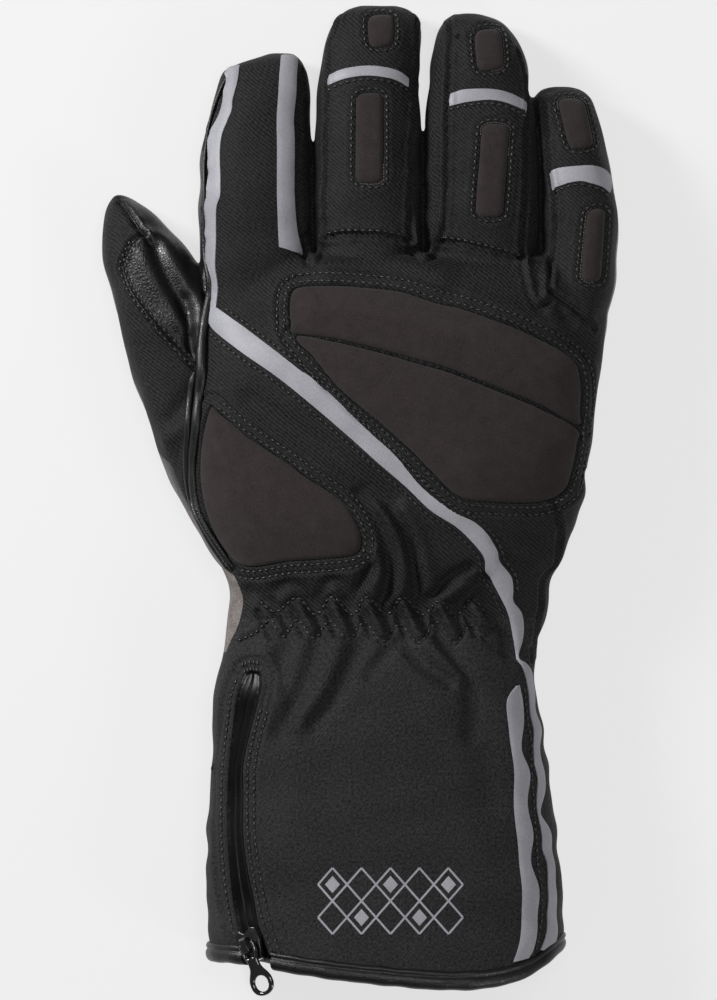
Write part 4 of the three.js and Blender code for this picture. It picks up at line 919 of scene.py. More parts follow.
def shell_of(top, bottom, faces, border):
    """A closed shell from an upper and a lower sheet with the same corners"""
    count = len(top)
    out = [tuple(face) for face in faces]
    out += [tuple(i + count for i in face)[::-1] for face in faces]
    out += [(b, a, a + count, b + count) for a, b in border]
    return np.vstack([top, bottom]), out


def border_of(faces):
    """Edges that only one face has, in that face's direction"""
    seen = {}
    for face in faces:
        for a, b in zip(face, face[1:] + face[:1]):
            seen[(a, b)] = True
    return [(a, b) for a, b in seen if (b, a) not in seen]


def filled(outline, step, rings):
    """A fine net over the inside of an outline, in pixels, with rows beside its edge"""
    line = spline(outline, step, closed=True)
    points = [line]
    for ring_away in rings:
        row = line + inwards(line) * ring_away
        points.append(row[inside(row, line) & (away_from(row, line) > 0.8 * ring_away)])
    low, high = line.min(axis=0), line.max(axis=0)
    xs, ys = np.arange(low[0], high[0], step), np.arange(low[1], high[1], step * 0.866)
    net = np.array([(x + (step / 2 if k % 2 else 0), y) for k, y in enumerate(ys) for x in xs])
    net = net[inside(net, line)]
    points.append(net[away_from(net, line) > rings[-1] + 0.6 * step])
    count = len(line)
    loop = [(i, (i + 1) % count) for i in range(count)]
    corners, faces = net_faces(np.vstack(points), loop, [list(range(count))], 1, 1e-4)
    # Pixels run downwards, so a face that shows turns the other way
    return corners, [face[::-1] for face in faces], line


def net_faces(points, edges, loops, kind, gap):
    """Triangles between points of a plane, that turn anticlockwise"""
    flat = [Vector(point) for point in points]
    corners, _, faces, *_ = geometry.delaunay_2d_cdt(flat, edges, loops, kind, gap)
    corners = np.array(corners)
    faces = [tuple(face) for face in faces]
    first = corners[list(faces[0])]
    if np.cross(first[1] - first[0], first[2] - first[0]) < 0:
        faces = [face[::-1] for face in faces]
    return corners, faces


def sewn_pad(name, outline, thick, rise, reach, sunk, step=2.4):
    """A pad on the skin, domed over its foam, with its edge rolled under"""
    flat, faces, line = filled(outline, step, (0.6, 1.6))
    away = away_from(flat, line) * PIXEL
    edge = np.sqrt(1 - (1 - np.clip(away / 1.1, 0, 1)) ** 2)
    height = -sunk + thick * edge + rise * np.sin(np.clip(away / reach, 0, 1) * math.pi / 2)
    places, ways = base.seen(flat)
    top = places + ways * height[:, None]
    bottom = places - ways * (sunk + 0.6)
    return mesh_object(name, *shell_of(top, bottom, faces, border_of(faces)))


def eased(line, ways, turns):
    """A line on the skin, smoothed where the skin is steep, because pixels tell little there"""
    steep = smoothstep((0.8 - smoothed_line(ways, 6)[:, 2]) / 0.3)[:, None]
    return line + steep * (smoothed_line(line, turns) - line)


def smoothed_line(points, turns):
    for _ in range(turns):
        inner_points = (points[:-2] + 2 * points[1:-1] + points[2:]) / 4
        points = np.vstack([points[:1], inner_points, points[-1:]])
    return points


def even_rows(left, right, count):
    """The two edges of a strip with the same count of points"""
    return [sampled(side, np.linspace(0, 1, len(side)), np.linspace(0, 1, count)) for side in (left, right)]


def stripe(left, right, lift=0.6, thick=0.6, across=7, step=1.3, crown=None, ease=6):
    """The shell of a stripe between two edges, following the cloth"""
    left, right = spline(left, 1.0), spline(right, 1.0)
    count = max(int(max(len(left), len(right)) / step), 5)
    edges = [eased(*base.seen(row), ease) for row in even_rows(left, right, count)]
    share = np.linspace(0, 1, across)[None, :, None]
    grid = edges[0][:, None] * (1 - share) + edges[1][:, None] * share
    places, ways = dressed.near(grid.reshape(-1, 3))
    if crown is None:
        crown = 1 - 0.35 * (2 * np.linspace(0, 1, across) - 1) ** 4
    top = places + ways * (lift * np.tile(crown, count))[:, None]
    bottom = places - ways * (thick - lift + 0.35)
    faces = [(i * across + j, i * across + j + 1, (i + 1) * across + j + 1, (i + 1) * across + j)
             for i in range(count - 1) for j in range(across - 1)]
    a, b, c, d = (top[k] for k in faces[len(faces) // 2])
    if np.cross(c - a, d - b) @ ways[faces[len(faces) // 2][0]] < 0:
        faces = [face[::-1] for face in faces]
    return shell_of(top, bottom, faces, border_of(faces))


# The large pads. Columns: outline, how far the foam rises, and over what distance from the edge
LARGE_PADS = {
    "knuckle_pad_upper": (PAD_UPPER, 2.4, 14),
    "knuckle_pad_lower": (PAD_LOWER, 2.8, 16),
    "thumb_side_pad": (PAD_THUMB, 2.4, 15),
}
pads = {name: sewn_pad(name + "_cloth", outline, thick=1.3, rise=rise, reach=reach, sunk=1.2)
        for name, (outline, rise, reach) in LARGE_PADS.items()}
for name, outline in small_outlines.items():
    pads[name] = sewn_pad(name + "_cloth", outline, thick=0.9, rise=0.6, reach=3.0, sunk=0.5, step=1.6)
stripes = {name: mesh_object(name + "_film", *stripe(*edges, ease=EASED.get(name, 6)))
           for name, edges in STRIPES.items()}


COIL_RIBS = 75


def coated_tape():
    """The zip's two flaps, which meet along a line; the right one shows the coil's ribs at its edge"""
    left, right = even_rows(spline(TAPE_LEFT, 1.0), spline(TAPE_RIGHT, 1.0), 330)
    at = np.linspace(0, 1, len(right))
    ribs = 0.25 * np.sin(at * 2 * math.pi * COIL_RIBS) * smoothstep(3 * at) * smoothstep(2.4 - 3 * at)
    right[:, 0] += ribs
    share = np.linspace(0, 1, 25)
    crown = 0.3 + 0.7 * np.clip(1 - (2 * share - 1) ** 4, 0, 1) - 0.5 * np.exp(-((share - 0.5) / 0.04) ** 2)
    return stripe(left, right, 0.6, 1.0, len(share), 0.9, crown)


zip_tape = mesh_object("zip_tape_coated", *coated_tape())


def printed_lozenges():
    """A band of lozenges in printed lines, every other one filled"""
    shells = []
    wide, tall = LOZENGE
    for column in range(LOZENGES[0]):
        for row in range(LOZENGES[1]):
            centre = np.array(PRINT_CORNER) + [wide * (column + 0.5), tall * (row + 0.5)]
            tips = centre + np.array([(-wide / 2, 0), (0, -tall / 2), (wide / 2, 0), (0, tall / 2)])
            for a, b in zip(tips, np.roll(tips, -1, axis=0)):
                side = PRINT_LINE / 2 * unit(np.array([a[1] - b[1], b[0] - a[0]]))
                shells.append(stripe([a + side, b + side], [a - side, b - side], 0.16, 0.2, 3))
            if (column + row) % 2 == 0:
                low = centre + PRINT_FILL * (tips - centre)
                shells.append(stripe(low[:2], low[:1:-1], 0.16, 0.2, 7))
    return merged(shells)


lozenges = mesh_object("cuff_print", *printed_lozenges())


def roll(name, pixels, radii, lift, sides=14, step=0.7, wobble=0.0, ease=30):
    """A rolled leather edge along a line of the photograph"""
    line, ways = dressed.seen(spline(pixels, step / PIXEL))
    line = smoothed_line(line, ease)
    ahead = unit(np.gradient(line, axis=0))
    beside = unit(np.cross(ahead, unit(smoothed_line(ways, 2 * ease))))
    over = np.cross(beside, ahead)
    share = np.linspace(0, 1, len(line))
    size = np.interp(share, np.linspace(0, 1, len(radii)), radii)
    size = size * np.clip(np.minimum(share, 1 - share) * 20 + 0.3, 0, 1)
    size *= 1 + wobble * np.sin(share * len(line) * 0.31) * np.sin(share * len(line) * 0.113 + 1)
    turns = np.linspace(0, 2 * math.pi, sides, endpoint=False)
    rings = [centre + lift * up + s * (np.cos(turns)[:, None] * side + np.sin(turns)[:, None] * up)
             for centre, up, side, s in zip(line, over, beside, size)]
    return mesh_object(name, *tube(rings, flip=True))


piping = roll("thumb_side_piping_leather", INDEX_WELT + PIPING, WELT_RADII, 0.45, wobble=0.06)
second_roll = roll("thumb_side_second_piping", SECOND_ROLL, [1.2, 1.2], 0.3, wobble=0.08)
thumb_seam = roll("thumb_seam_ridge", THUMB_SEAM[:-1] + [(140, 230)], [0.32, 0.32], 0.12, 10, 0.5, ease=5)

# Hem binding: a rounded strip of leather folded over the edge of the cuff. Columns of its
# section: out of the wall, and along the cuff from its edge
BINDING_SECTION = [(-WALL + 0.2, 5.0), (-WALL - 0.7, 4.2), (-WALL - 1.0, 2.4), (-WALL - 0.6, 0.6),
                   (-WALL * 0.7, -0.5), (-WALL * 0.35, -0.7), (0.2, -0.3), (0.95, 0.5), (1.25, 1.6),
                   (1.15, 2.7), (0.7, 3.3), (0.75, 3.7), (1.0, 4.2), (0.8, 4.9), (0.1, 5.2)]
ZIP_MOUTH = (-0.795, -0.640)     # across the cuff, where the binding is open for the zip


def hem_binding():
    section = spline(BINDING_SECTION + BINDING_SECTION[:1], 0.42)[:-1]
    here = curved(body_rows, place_of(body_rows, 0, -0.97 * CUFF[0]))[0]
    fine = even_turns(here, 420)
    middle, half = (here[1] + here[2]) / 2, (here[2] - here[1]) / 2
    across = (ring(here, fine)[:, 0] - middle) / half
    open_place = (fine < math.pi) & (across > ZIP_MOUTH[0]) & (across < ZIP_MOUTH[1])
    first = np.flatnonzero(open_place).max() + 1
    order = [(first + i) % len(fine) for i in range(len(fine) - open_place.sum())]
    rings = []
    for count, index in enumerate(order):
        turn = fine[index:index + 1]
        edge_y = hem_y(ring(here, turn)[0, 0] + SHIFT[0]) - SHIFT[1]
        points = np.array([ring(curved(body_rows, place_of(body_rows, 0, edge_y + along))[0], turn, out)[0]
                           for out, along in section])
        ripple = np.sin(count * 0.37) * np.sin(count * 0.083 + 1)
        rings.append(points + (points - points.mean(axis=0)) * 0.05 * ripple)
    corners, faces = tube(rings, flip=True)
    corners += SHIFT
    corners[:, 2] = np.maximum(corners[:, 2], 0.0)
    return mesh_object("hem_binding_leather", corners, faces)


binding = hem_binding()

# The zip's slider, with its edges softened as a casting's are
CAST_EDGE = 0.4
slider_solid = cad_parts["zip_slider"].data
slider = mesh_object("zip_slider_casting", read(slider_solid.vertices, "co", float, 3) / MM,
                     [tuple(face.vertices) for face in slider_solid.polygons])
weld = slider.modifiers.new("weld", "WELD")
weld.merge_threshold = 0.01 * MM
soften = slider.modifiers.new("soften", "BEVEL")
soften.width = CAST_EDGE * MM
soften.segments = 3
soften.limit_method = "ANGLE"
soften.angle_limit = math.radians(30)
settled(slider)

# The pull: a forked plate with a large eye. Its hinge and the way it points, from the model's joint
PULL_HINGE = np.array([-34.90, -137.09, 45.95])
PULL_AXIS = np.array([-0.82736, -0.37461, -0.41849])
PULL_WAY = np.array([0.37222, -0.92368, 0.09094])
# Half its width at each place along it from the hinge
PULL_OUTLINE = [(-0.9, 1.9), (-0.75, 2.5), (-0.2, 2.75), (2.2, 2.7), (3.6, 2.35), (5.0, 1.95), (6.8, 1.95),
                (8.2, 2.35), (9.6, 3.15), (11.2, 3.8), (12.8, 3.95), (14.3, 3.65), (15.5, 2.8), (16.2, 1.6),
                (16.45, 0.5)]
PULL_EYE = (12.7, 2.55, 2.3)      # place along it, half its length and half its width
PULL_WINDOW = (1.6, 2.4, 1.55)    # the opening that the slider's bridge stands in
PULL_THICK = 1.5


def zip_pull():
    """The pull as a net between its outline and its openings, with rounded edges"""
    side = np.array(PULL_OUTLINE)
    outline = spline(np.vstack([side, side[::-1] * [1, -1]]), 0.25, closed=True)
    turns = np.linspace(0, 2 * math.pi, 56, endpoint=False)
    eye = np.column_stack([PULL_EYE[0] + PULL_EYE[1] * np.cos(turns), PULL_EYE[2] * np.sin(turns)])
    corner = 2 / 4.5
    window = np.column_stack([
        PULL_WINDOW[0] + PULL_WINDOW[1] * np.sign(np.cos(turns)) * np.abs(np.cos(turns)) ** corner,
        PULL_WINDOW[2] * np.sign(np.sin(turns)) * np.abs(np.sin(turns)) ** corner])
    loops = [outline, eye, window]
    rim = np.vstack(loops)
    xs, ys = np.arange(-1.2, 18.2, 0.26), np.arange(-4.2, 4.21, 0.26)
    net = np.array([(x, y) for x in xs for y in ys])
    keep = inside(net, outline) & ~inside(net, eye) & ~inside(net, window) & (away_from(net, rim) > 0.14)
    flat = np.vstack([rim, net[keep]])
    edges, start = [], 0
    for loop in loops:
        edges += [(start + i, start + (i + 1) % len(loop)) for i in range(len(loop))]
        start += len(loop)
    corners, faces = net_faces(flat, edges, [], 0, 1e-5)
    centres = np.array([corners[list(face)].mean(axis=0) for face in faces])
    keep = inside(centres, outline) & ~inside(centres, eye) & ~inside(centres, window)
    faces = [face for face, kept in zip(faces, keep) if kept]
    away = away_from(corners, rim)
    half = PULL_THICK / 2 * (0.25 + 0.75 * np.sqrt(1 - (1 - np.clip(away / 0.55, 0, 1)) ** 2))
    out_way = np.cross(PULL_WAY, PULL_AXIS)
    if out_way[2] < 0:
        out_way, corners = -out_way, corners * [1, -1]
        faces = [face[::-1] for face in faces]
    across_way = np.cross(out_way, PULL_WAY)
    middle = PULL_HINGE + corners[:, :1] * PULL_WAY + corners[:, 1:] * across_way
    top = middle + half[:, None] * out_way
    bottom = middle - half[:, None] * out_way
    return mesh_object("zip_pull_casting", *shell_of(top, bottom, faces, border_of(faces)))


pull = zip_pull()

# The webbing tab that stands out of the cuff's side, folded over. Columns: out of the cuff, along
TAB_BAND = [(-1.5, -1.35), (1.6, -1.3), (2.5, -0.9), (2.8, 0.0), (2.5, 0.9), (1.6, 1.3), (-1.5, 1.35),
            (-1.5, 0.75), (1.5, 0.72), (2.0, 0.4), (2.1, 0.0), (2.0, -0.4), (1.5, -0.72), (-1.5, -0.75)]


def cuff_tab():
    low, high = (np.array(corner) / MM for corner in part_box("cuff_tab"))
    band = spline(TAB_BAND, 0.3, closed=True)
    rings = []
    for level in np.linspace(low[2] + 1.5, high[2] - 1.5, 26):
        fray = 0.05 * np.sin(level * 4.1)
        x = high[0] + 1.2 - band[:, 0] * (1 + fray)
        rings.append(np.column_stack([x, (low[1] + high[1]) / 2 + band[:, 1], np.full(len(band), level)]))
    count = len(band)
    faces = wall_faces(len(rings), count)
    faces.append(tuple(range(count)))
    faces.append(tuple((len(rings) - 1) * count + j for j in range(count))[::-1])
    return mesh_object("cuff_tab_webbing", np.vstack(rings), faces)


tab = cuff_tab()

# Stitches


def outward(outline, distance, start=0.0, end=1.0):
    """A line round an outline, at a distance outside it, or a stretch of it"""
    line = spline(outline, 1.0, closed=True)
    moved = line - inwards(line) * distance / PIXEL
    moved = moved[away_from(moved, line) > 0.93 * distance / PIXEL]
    return moved[int(start * len(moved)):int(end * len(moved))]


def beside(pixels, distance):
    """A line at a distance to the right of an open line, in its direction"""
    line = spline(pixels, 1.0)
    ahead = np.gradient(line, axis=0)
    return line + unit(np.column_stack([-ahead[:, 1], ahead[:, 0]])) * distance / PIXEL


KNUCKLE_BOTH = PAD_UPPER[:16] + PAD_LOWER[8:24] + [(293, 334), (289, 322), (289, 305), (292, 291)]
upper_edge, lower_edge = STRIPES["long_stripe"]
STITCH_ROWS = [
    *[outward(KNUCKLE_BOTH, distance) for distance in PAD_ROWS],
    *[outward(PAD_THUMB, distance, 0.02, 0.66) for distance in PAD_ROWS],
    *[outward(outline, SMALL_PAD_ROW) for outline in small_outlines.values()],
    UPPER_ZIGZAG, LOWER_ZIGZAG, *BAR_TACKS,
    *[beside(TAPE_RIGHT[2:], -distance) for distance in TAPE_ROWS], beside(TAPE_LEFT[1:], TAPE_ROWS[0]),
    beside(upper_edge[1:14], -1.3), beside(lower_edge[1:14], 1.6),
    [(524, 690), (527, 720), (531, 745), (531, 769), (533, 800), (535, 830), (537, 860), (541, 890),
     (541, 920), (536, 948)],
    beside(ALMOND[1:-1], 0.3), beside(ALMOND[1:-1], -1.5),
    *[beside(STRIPES[name][1], -1.0) for name in ("middle_band", "ring_band", "little_band")],
    [(327, 233), (345, 230), (372, 230), (392, 232), (408, 236)],
    [(443, 237), (460, 239), (486, 245), (505, 250), (522, 256)],
]


# Pale ends of thread at the edges of the small pads: where each stretch starts and ends round one
LINT_ROWS = [outward(small_outlines[name], 0.25, start, end) for name, start, end in (
    ("ring_tip_pad", 0.20, 0.66), ("ring_knuckle_pad", 0.0, 0.28), ("little_tip_pad", 0.0, 0.55),
    ("little_knuckle_pad", 0.60, 1.0), ("little_knuckle_pad", 0.0, 0.08),
    ("middle_knuckle_pad", 0.47, 0.64))]


def stitch_lines(name, rows):
    """One mesh of lines on the cloth, with the cloth's direction at each point"""
    corners, edges, ways = [], [], []
    for row in rows:
        line, way = dressed.seen(spline(row, 1.6) if len(row) > 2 else row)
        shows = way[:, 2] > 0.4
        line, way = line[shows], way[shows]
        edges += [(len(corners) + i, len(corners) + i + 1) for i in range(len(line) - 1)]
        corners += list(line + way * 0.12)
        ways += list(way)
    mesh = bpy.data.meshes.new(name)
    mesh.from_pydata((np.array(corners) * MM).tolist(), edges, [])
    up = mesh.attributes.new("up", "FLOAT_VECTOR", "POINT")
    up.data.foreach_set("vector", np.array(ways, np.float32).ravel())
    made = bpy.data.objects.new(name, mesh)
    bpy.context.scene.collection.objects.link(made)
    return made


def add(tree, kind, inputs=(), **settings):
    """Adds a node with its settings; inputs are (name or number, value or socket) pairs"""
    node = tree.nodes.new(kind)
    for key, value in settings.items():
        setattr(node, key, value)
    for key, value in dict(inputs).items():
        if isinstance(value, bpy.types.NodeSocket):
            tree.links.new(value, node.inputs[key])
        else:
            node.inputs[key].default_value = value
    return node


def linear(code):
    """An sRGB colour such as #1d1d1f as linear numbers"""
    channels = [int(code[i:i + 2], 16) / 255 for i in (1, 3, 5)]
    return tuple(c / 12.92 if c <= 0.04045 else ((c + 0.055) / 1.055) ** 2.4 for c in channels) + (1.0,)


def new_material(name):
    """A material, its empty tree, and the place on the piece in millimetres"""
    made = bpy.data.materials.new(name)
    made.use_nodes = True
    tree = made.node_tree
    tree.nodes.clear()
    where = add(tree, "ShaderNodeTexCoord").outputs["Object"]
    return made, tree, vector_maths(tree, "MULTIPLY", where, (1 / MM,) * 3)


def maths(tree, operation, *values):
    return add(tree, "ShaderNodeMath", enumerate(values), operation=operation).outputs[0]


def vector_maths(tree, operation, *values):
    return add(tree, "ShaderNodeVectorMath", enumerate(values), operation=operation).outputs[0]


def noise(tree, place, scale, detail, rough=0.5, output="Fac"):
    values = {"Vector": place, "Scale": scale, "Detail": detail, "Roughness": rough}
    return add(tree, "ShaderNodeTexNoise", values).outputs[output]


def spread(tree, value, low, high, to_low=0.0, to_high=1.0, **settings):
    """A value's span between low and high made into another span"""
    values = {0: value, 1: low, 2: high, 3: to_low, 4: to_high}
    return add(tree, "ShaderNodeMapRange", values, **settings).outputs[0]


def tone_between(tree, share, dark, light):
    values = {0: share, 6: linear(dark), 7: linear(light)}
    return add(tree, "ShaderNodeMix", values, data_type="RGBA").outputs[2]


def finish_surface(tree, colour, height, strength, distance, **sockets):
    """The shader of a material, with a bump from a height"""
    bump = add(tree, "ShaderNodeBump", {"Strength": strength, "Distance": distance * MM, "Height": height})
    values = {"Base Color": colour, "Normal": bump.outputs["Normal"]}
    values.update({key.replace("_", " "): value for key, value in sockets.items()})
    shader = add(tree, "ShaderNodeBsdfPrincipled", values)
    add(tree, "ShaderNodeOutputMaterial", {"Surface": shader.outputs[0]})


def cloth_plane(tree, solid):
    """Millimetres along a cloth, taken from the side that the surface faces"""
    place = add(tree, "ShaderNodeSeparateXYZ", {0: solid})
    faces = add(tree, "ShaderNodeSeparateXYZ", {0: add(tree, "ShaderNodeTexCoord").outputs["Normal"]})
    picks = []
    for axis in (0, 1):
        steep = maths(tree, "GREATER_THAN", maths(tree, "ABSOLUTE", faces.outputs[axis]), 0.74)
        pick = add(tree, "ShaderNodeMix", {0: steep, 2: place.outputs[axis], 3: place.outputs[2]})
        picks.append(pick.outputs[0])
    return add(tree, "ShaderNodeCombineXYZ", enumerate(picks)).outputs[0]


def waves(tree, vector, way, period):
    """Even ridges across a direction, from 0 to 1, a period in millimetres apart"""
    turn = [2 * math.pi * w / period for w in way]
    along = add(tree, "ShaderNodeVectorMath", {0: vector, 1: turn}, operation="DOT_PRODUCT")
    return maths(tree, "MULTIPLY_ADD", maths(tree, "SINE", along.outputs["Value"]), 0.5, 0.5)


def woven(name, dark, light, period, angle, broken, bump, rough):
    """Polyester cloth with slanted ridges that catch the light, broken up by its threads; its colour has a
    painted highlight on the ridge tops and painted shade between them, over a random tone
    """
    made, tree, solid = new_material(name)
    warp = noise(tree, solid, 0.07, 2.0, output="Color")
    bend = vector_maths(tree, "MULTIPLY", warp, (2.6, 2.6, 0.0))
    plane = vector_maths(tree, "ADD", cloth_plane(tree, solid), bend)
    c, s = math.cos(math.radians(angle)), math.sin(math.radians(angle))
    ridge = waves(tree, plane, (-s, c, 0), period)
    thread = waves(tree, plane, (0.9, 0.45, 0), period * 0.75)
    both = maths(tree, "MULTIPLY", ridge, maths(tree, "MULTIPLY_ADD", thread, 0.65, 0.35))
    speck = spread(tree, noise(tree, plane, 0.95 / period, 3.0, 0.75), 0.3, 0.7)
    height = maths(tree, "MULTIPLY_ADD", speck, broken, maths(tree, "MULTIPLY", both, 1.0 - broken))
    # The colour follows the height: painted highlight on the ridge tops, painted shade between them, and a
    # random tone from the broad noise
    tone = maths(tree, "MULTIPLY_ADD", noise(tree, solid, 0.05, 3.0), 0.25, height)
    colour = tone_between(tree, spread(tree, tone, 0.25, 0.95), dark, light)
    finish_surface(tree, colour, height, bump, 0.3, Roughness=rough, Sheen_Weight=0.02,
                   Sheen_Roughness=0.4, Specular_IOR_Level=0.12)
    return made


def brushed(name, dark, light, bump):
    """Softshell: a brushed knit with a soft, matt, slightly mottled face"""
    made, tree, solid = new_material(name)
    fuzz = noise(tree, solid, 2.1, 3.0, 0.7)
    tone = maths(tree, "MULTIPLY_ADD", noise(tree, solid, 0.25, 2.0), 0.35, fuzz)
    colour = tone_between(tree, spread(tree, tone, 0.4, 1.0), dark, light)
    finish_surface(tree, colour, fuzz, bump, 0.15, Roughness=0.95, Sheen_Weight=0.05,
                   Sheen_Roughness=0.6, Specular_IOR_Level=0.1)
    return made


def pebbled(name, colour_code, grain, bump, rough, specular):
    """Full-grain leather with a pebbled embossing and a semi-gloss finish"""
    made, tree, solid = new_material(name)
    bend = vector_maths(tree, "MULTIPLY", noise(tree, solid, 0.8, 2.0, output="Color"), (0.9,) * 3)
    cells = add(tree, "ShaderNodeTexVoronoi", {"Vector": vector_maths(tree, "ADD", solid, bend),
                                               "Scale": 1.0 / grain}, feature="DISTANCE_TO_EDGE")
    dome = spread(tree, cells.outputs["Distance"], 0.0, 0.28, interpolation_type="SMOOTHSTEP")
    height = maths(tree, "MULTIPLY_ADD", noise(tree, solid, 0.35, 4.0, 0.6), 0.4, dome)
    finish_surface(tree, linear(colour_code), height, bump, 0.2, Specular_IOR_Level=specular,
                   Roughness=spread(tree, dome, 0.0, 1.0, rough + 0.18, rough))
    return made


def film(name, dark, light):
    """Retroreflective film of glass beads: a flat grey with a fine sparkle painted into its colour as painted
    glints
    """
    made, tree, solid = new_material(name)
    beads = noise(tree, solid, 2.6, 2.0, 0.6)
    # The fine bead noise lightens the colour in flecks as painted glints; the broad noise is a random tone
    tone = maths(tree, "MULTIPLY_ADD", noise(tree, solid, 0.12, 2.0), 0.5, beads)
    colour = tone_between(tree, spread(tree, tone, 0.5, 1.0), dark, light)
    finish_surface(tree, colour, beads, 0.12, 0.1, Roughness=0.55, Specular_IOR_Level=0.4)
    return made


def plain(name, colour_code, scale, bump, rough, specular=0.5, coat=0.0):
    """A smooth finish with a slight unevenness, such as coated tape or lacquered metal"""
    made, tree, solid = new_material(name)
    lumps = noise(tree, solid, scale, 3.0)
    finish_surface(tree, linear(colour_code), lumps, bump, 0.1, Specular_IOR_Level=specular,
                   Roughness=spread(tree, lumps, 0.0, 1.0, rough - 0.06, rough + 0.08), Coat_Weight=coat)
    return made


# Polyester twill of the hand, dyed black: slanted ridges, drawn 1 mm apart so that they show, with a painted
# highlight on their tops and painted shade between them
TWILL = woven("black_polyester_twill", "#060607", "#272728", 1.0, -40, 0.45, 0.85, 0.65)
# Polyester canvas of the cuff: a finer plain weave that looks speckled
CANVAS = woven("black_polyester_canvas", "#08080a", "#2e2e2f", 0.8, 52, 0.78, 0.8, 0.68)
# Fleece inside the hand and the cuff: soft, matt and nearly black
LINING = brushed("fleece_lining", "#0f0f10", "#1c1c1d", 0.3)
# Softshell of the pads: a brushed brown-black face with no gloss
SOFTSHELL = brushed("brushed_softshell", "#1b1716", "#312c2b", 0.4)
# Goat leather of the thumb: coarse pebbles with glossy tops
LEATHER = pebbled("pebbled_goat_leather", "#080808", 1.05, 0.36, 0.34, 0.27)
# Sheep leather of the palm, the welts and the hem: fine grain, half gloss
SMOOTH_LEATHER = pebbled("smooth_sheep_leather", "#050506", 0.8, 0.24, 0.3, 0.38)
# Retroreflective film of the stripes: flat grey from its glass beads, with painted glints
REFLECTIVE = film("reflective_bead_film", "#737378", "#89898f")
# Split suede of the wrist: a long grey nap
SUEDE_CLOTH = brushed("split_suede", "#36312f", "#837c79", 1.0)
# Polyurethane over the zip's tape: smooth, with a soft shine
COATED = plain("coated_zip_tape", "#040405", 0.5, 0.06, 0.34, 0.12)
# Zinc of the slider and its pull: glossy black lacquer
METAL = plain("black_lacquered_zinc", "#0a0a0b", 0.6, 0.05, 0.17, 0.5, 1.0)
# Bonded thread of the seams: a little lighter than the cloth, and shinier
THREAD_BLACK = plain("bonded_polyester_thread", "#141415", 3.0, 0.2, 0.42)
# Cut ends of that thread, frayed and dusty, so paler
THREAD_PALE = plain("frayed_thread_ends", "#5a5652", 3.0, 0.2, 0.7)


def stitch_nodes():
    """Rows of stitches: a rounded bar at each pitch along some lines"""
    tree = bpy.data.node_groups.new("stitch_row", "GeometryNodeTree")
    tree.is_modifier = True
    for socket_name, kind in (("Lines", "NodeSocketGeometry"), ("Pitch", "NodeSocketFloat"),
                              ("Length", "NodeSocketFloat"), ("Thickness", "NodeSocketFloat"),
                              ("Thread", "NodeSocketMaterial")):
        tree.interface.new_socket(socket_name, in_out="INPUT", socket_type=kind)
    tree.interface.new_socket("Stitches", in_out="OUTPUT", socket_type="NodeSocketGeometry")
    given = add(tree, "NodeGroupInput").outputs
    curve = add(tree, "GeometryNodeMeshToCurve", {"Mesh": given["Lines"]})
    even = add(tree, "GeometryNodeResampleCurve", {"Curve": curve.outputs[0], "Length": given["Pitch"]},
               mode="LENGTH")
    along = add(tree, "GeometryNodeInputTangent")
    up = add(tree, "GeometryNodeInputNamedAttribute", {"Name": "up"}, data_type="FLOAT_VECTOR")
    lie = add(tree, "FunctionNodeAlignRotationToVector", {"Vector": along.outputs[0]}, axis="X")
    stand = add(tree, "FunctionNodeAlignRotationToVector",
                {"Rotation": lie.outputs[0], "Vector": up.outputs[0]}, axis="Z", pivot_axis="X")
    bar = add(tree, "ShaderNodeCombineXYZ",
              {0: given["Length"], 1: given["Thickness"], 2: given["Thickness"]})
    ball = add(tree, "GeometryNodeMeshUVSphere", {"Segments": 6, "Rings": 5, "Radius": 0.5})
    placed = add(tree, "GeometryNodeInstanceOnPoints",
                 {"Points": even.outputs[0], "Instance": ball.outputs[0], "Rotation": stand.outputs[0],
                  "Scale": bar.outputs[0]})
    real = add(tree, "GeometryNodeRealizeInstances", {0: placed.outputs[0]})
    painted = add(tree, "GeometryNodeSetMaterial", {"Geometry": real.outputs[0], "Material": given["Thread"]})
    add(tree, "NodeGroupOutput", {"Stitches": painted.outputs[0]})
    return tree


STITCH_TREE = stitch_nodes()


def sewn(name, rows, pitch, length, thickness, thread):
    """Stitches along some rows, in millimetres"""
    made = stitch_lines(name, rows)
    modifier = made.modifiers.new("stitches", "NODES")
    modifier.node_group = STITCH_TREE
    sockets = {item.name: item.identifier for item in STITCH_TREE.interface.items_tree}
    for socket, value in (("Pitch", pitch * MM), ("Length", length * MM), ("Thickness", thickness * MM),
                          ("Thread", thread)):
        modifier[sockets[socket]] = value
    return settled(made)


stitches = sewn("stitches", STITCH_ROWS, STITCH_PITCH, STITCH_LENGTH, THREAD, THREAD_BLACK)
lint = sewn("thread_ends", LINT_ROWS, pitch=0.9, length=0.75, thickness=0.22, thread=THREAD_PALE)


# Finishes, and what each piece stands for


def dress(made, finishes, slot, *nodes, body="glove", smooth=50.0):
    """Gives a piece its finishes, the nodes that it replaces and its body; the slot is not used"""
    mesh = made.data
    mesh.materials.clear()
    for finish in finishes:
        mesh.materials.append(finish)
    mesh.polygons.foreach_set("use_smooth", np.ones(len(mesh.polygons), bool))
    mesh.set_sharp_from_angle(angle=math.radians(smooth))
    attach(made, body)
    if nodes:
        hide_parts(*nodes)


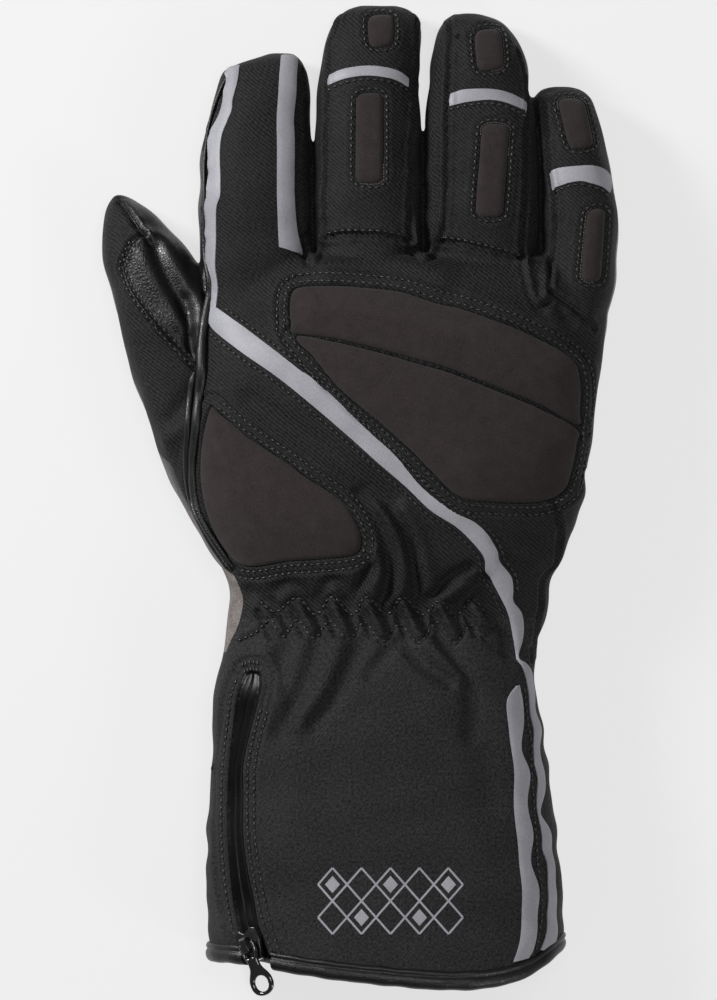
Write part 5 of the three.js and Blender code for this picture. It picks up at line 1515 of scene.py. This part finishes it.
dress(back, [TWILL, LINING], "textile", "hand_back", "index_back", "middle_back", "ring_back", "little_back")
dress(palm, [SMOOTH_LEATHER, LINING], "leather", "hand_palm", "index_front", "middle_front", "ring_front",
      "little_front", "thumb_front")
dress(cuff_back, [CANVAS, LINING], "textile", "cuff_back", "wrist_gather")
dress(cuff_palm, [CANVAS, LINING], "textile", "cuff_palm")
dress(thumb, [TWILL, LINING], "textile", "thumb_back")
dress(thumb_leather, [LEATHER, LINING], "leather", "thumb_patch")
dress(thumb_roll, [SMOOTH_LEATHER, LINING], "leather")
dress(welt, [SMOOTH_LEATHER, LINING], "leather")
dress(suede, [SUEDE_CLOTH, LINING], "suede", "suede_patch")
for name, pad in pads.items():
    dress(pad, [SOFTSHELL], "softshell", name)
for name, made in stripes.items():
    dress(made, [REFLECTIVE], "reflective", name)
dress(lozenges, [REFLECTIVE], "reflective")
dress(zip_tape, [COATED], "zip_tape", "zip_tape")
dress(piping, [SMOOTH_LEATHER], "leather", "thumb_side_piping")
dress(second_roll, [SMOOTH_LEATHER], "leather")
dress(thumb_seam, [SMOOTH_LEATHER], "leather")
dress(binding, [SMOOTH_LEATHER], "leather", "hem_binding")
dress(tab, [CANVAS], "textile", "cuff_tab")
dress(stitches, [THREAD_BLACK], "textile")
dress(lint, [THREAD_PALE], "textile")
dress(slider, [METAL], "zip_metal", "zip_slider", smooth=35.0)
dress(pull, [METAL], "zip_metal", "zip_pull", body="pull", smooth=60.0)

# Floor, lights and camera

FLOOR_GLOW = 0.7       # the floor is lit from behind, as a light table is, so shadows stay pale
FLOOR_REACH = 6000.0
FLOOR_LEVEL = -0.05


def floor():
    made, tree, _ = new_material("pale_floor")
    shader = add(tree, "ShaderNodeBsdfPrincipled",
                 {"Base Color": (0.13, 0.13, 0.13, 1), "Roughness": 0.9, "Specular IOR Level": 0.0,
                  "Emission Color": (1, 1, 1, 1), "Emission Strength": FLOOR_GLOW})
    add(tree, "ShaderNodeOutputMaterial", {"Surface": shader.outputs[0]})
    corners = [(x * FLOOR_REACH, y * FLOOR_REACH, FLOOR_LEVEL)
               for x, y in ((-1, -1), (1, -1), (1, 1), (-1, 1))]
    plane = mesh_object("floor", corners, [(0, 1, 2, 3)])
    plane.data.materials.append(made)


def area_light(name, place, size, power):
    """A soft light of a size in metres that shines at the glove"""
    light = bpy.data.lights.new(name, "AREA")
    light.shape = "RECTANGLE"
    light.size, light.size_y = size
    light.energy = power
    made = bpy.data.objects.new(name, light)
    made.location = place
    made.rotation_mode = "QUATERNION"
    made.rotation_quaternion = (-Vector(place)).to_track_quat("-Z", "Y")
    bpy.context.scene.collection.objects.link(made)


floor()
area_light("key", (-0.82, 0.55, 0.62), (0.25, 0.35), 18.5)
area_light("right", (0.75, -0.65, 0.75), (0.3, 0.3), 4.2)
area_light("above", (0.15, 0.15, 1.4), (0.3, 0.3), 5.5)
world = bpy.data.worlds.new("soft_studio")
world.use_nodes = True
background = world.node_tree.nodes["Background"]
background.inputs["Color"].default_value = (1, 1, 1, 1)
background.inputs["Strength"].default_value = 0.15
bpy.context.scene.world = world
bpy.context.scene.view_settings.view_transform = "Standard"

camera_data = bpy.data.cameras.new("camera")
camera_data.sensor_width = SENSOR
camera_data.lens = SENSOR * CAMERA_RISE / (PHOTO[1] * PIXEL)
camera_data.clip_end = 20
camera = bpy.data.objects.new("camera", camera_data)
camera.location = EYE * MM
bpy.context.scene.collection.objects.link(camera)
bpy.context.scene.camera = camera

bpy.context.view_layer.update()
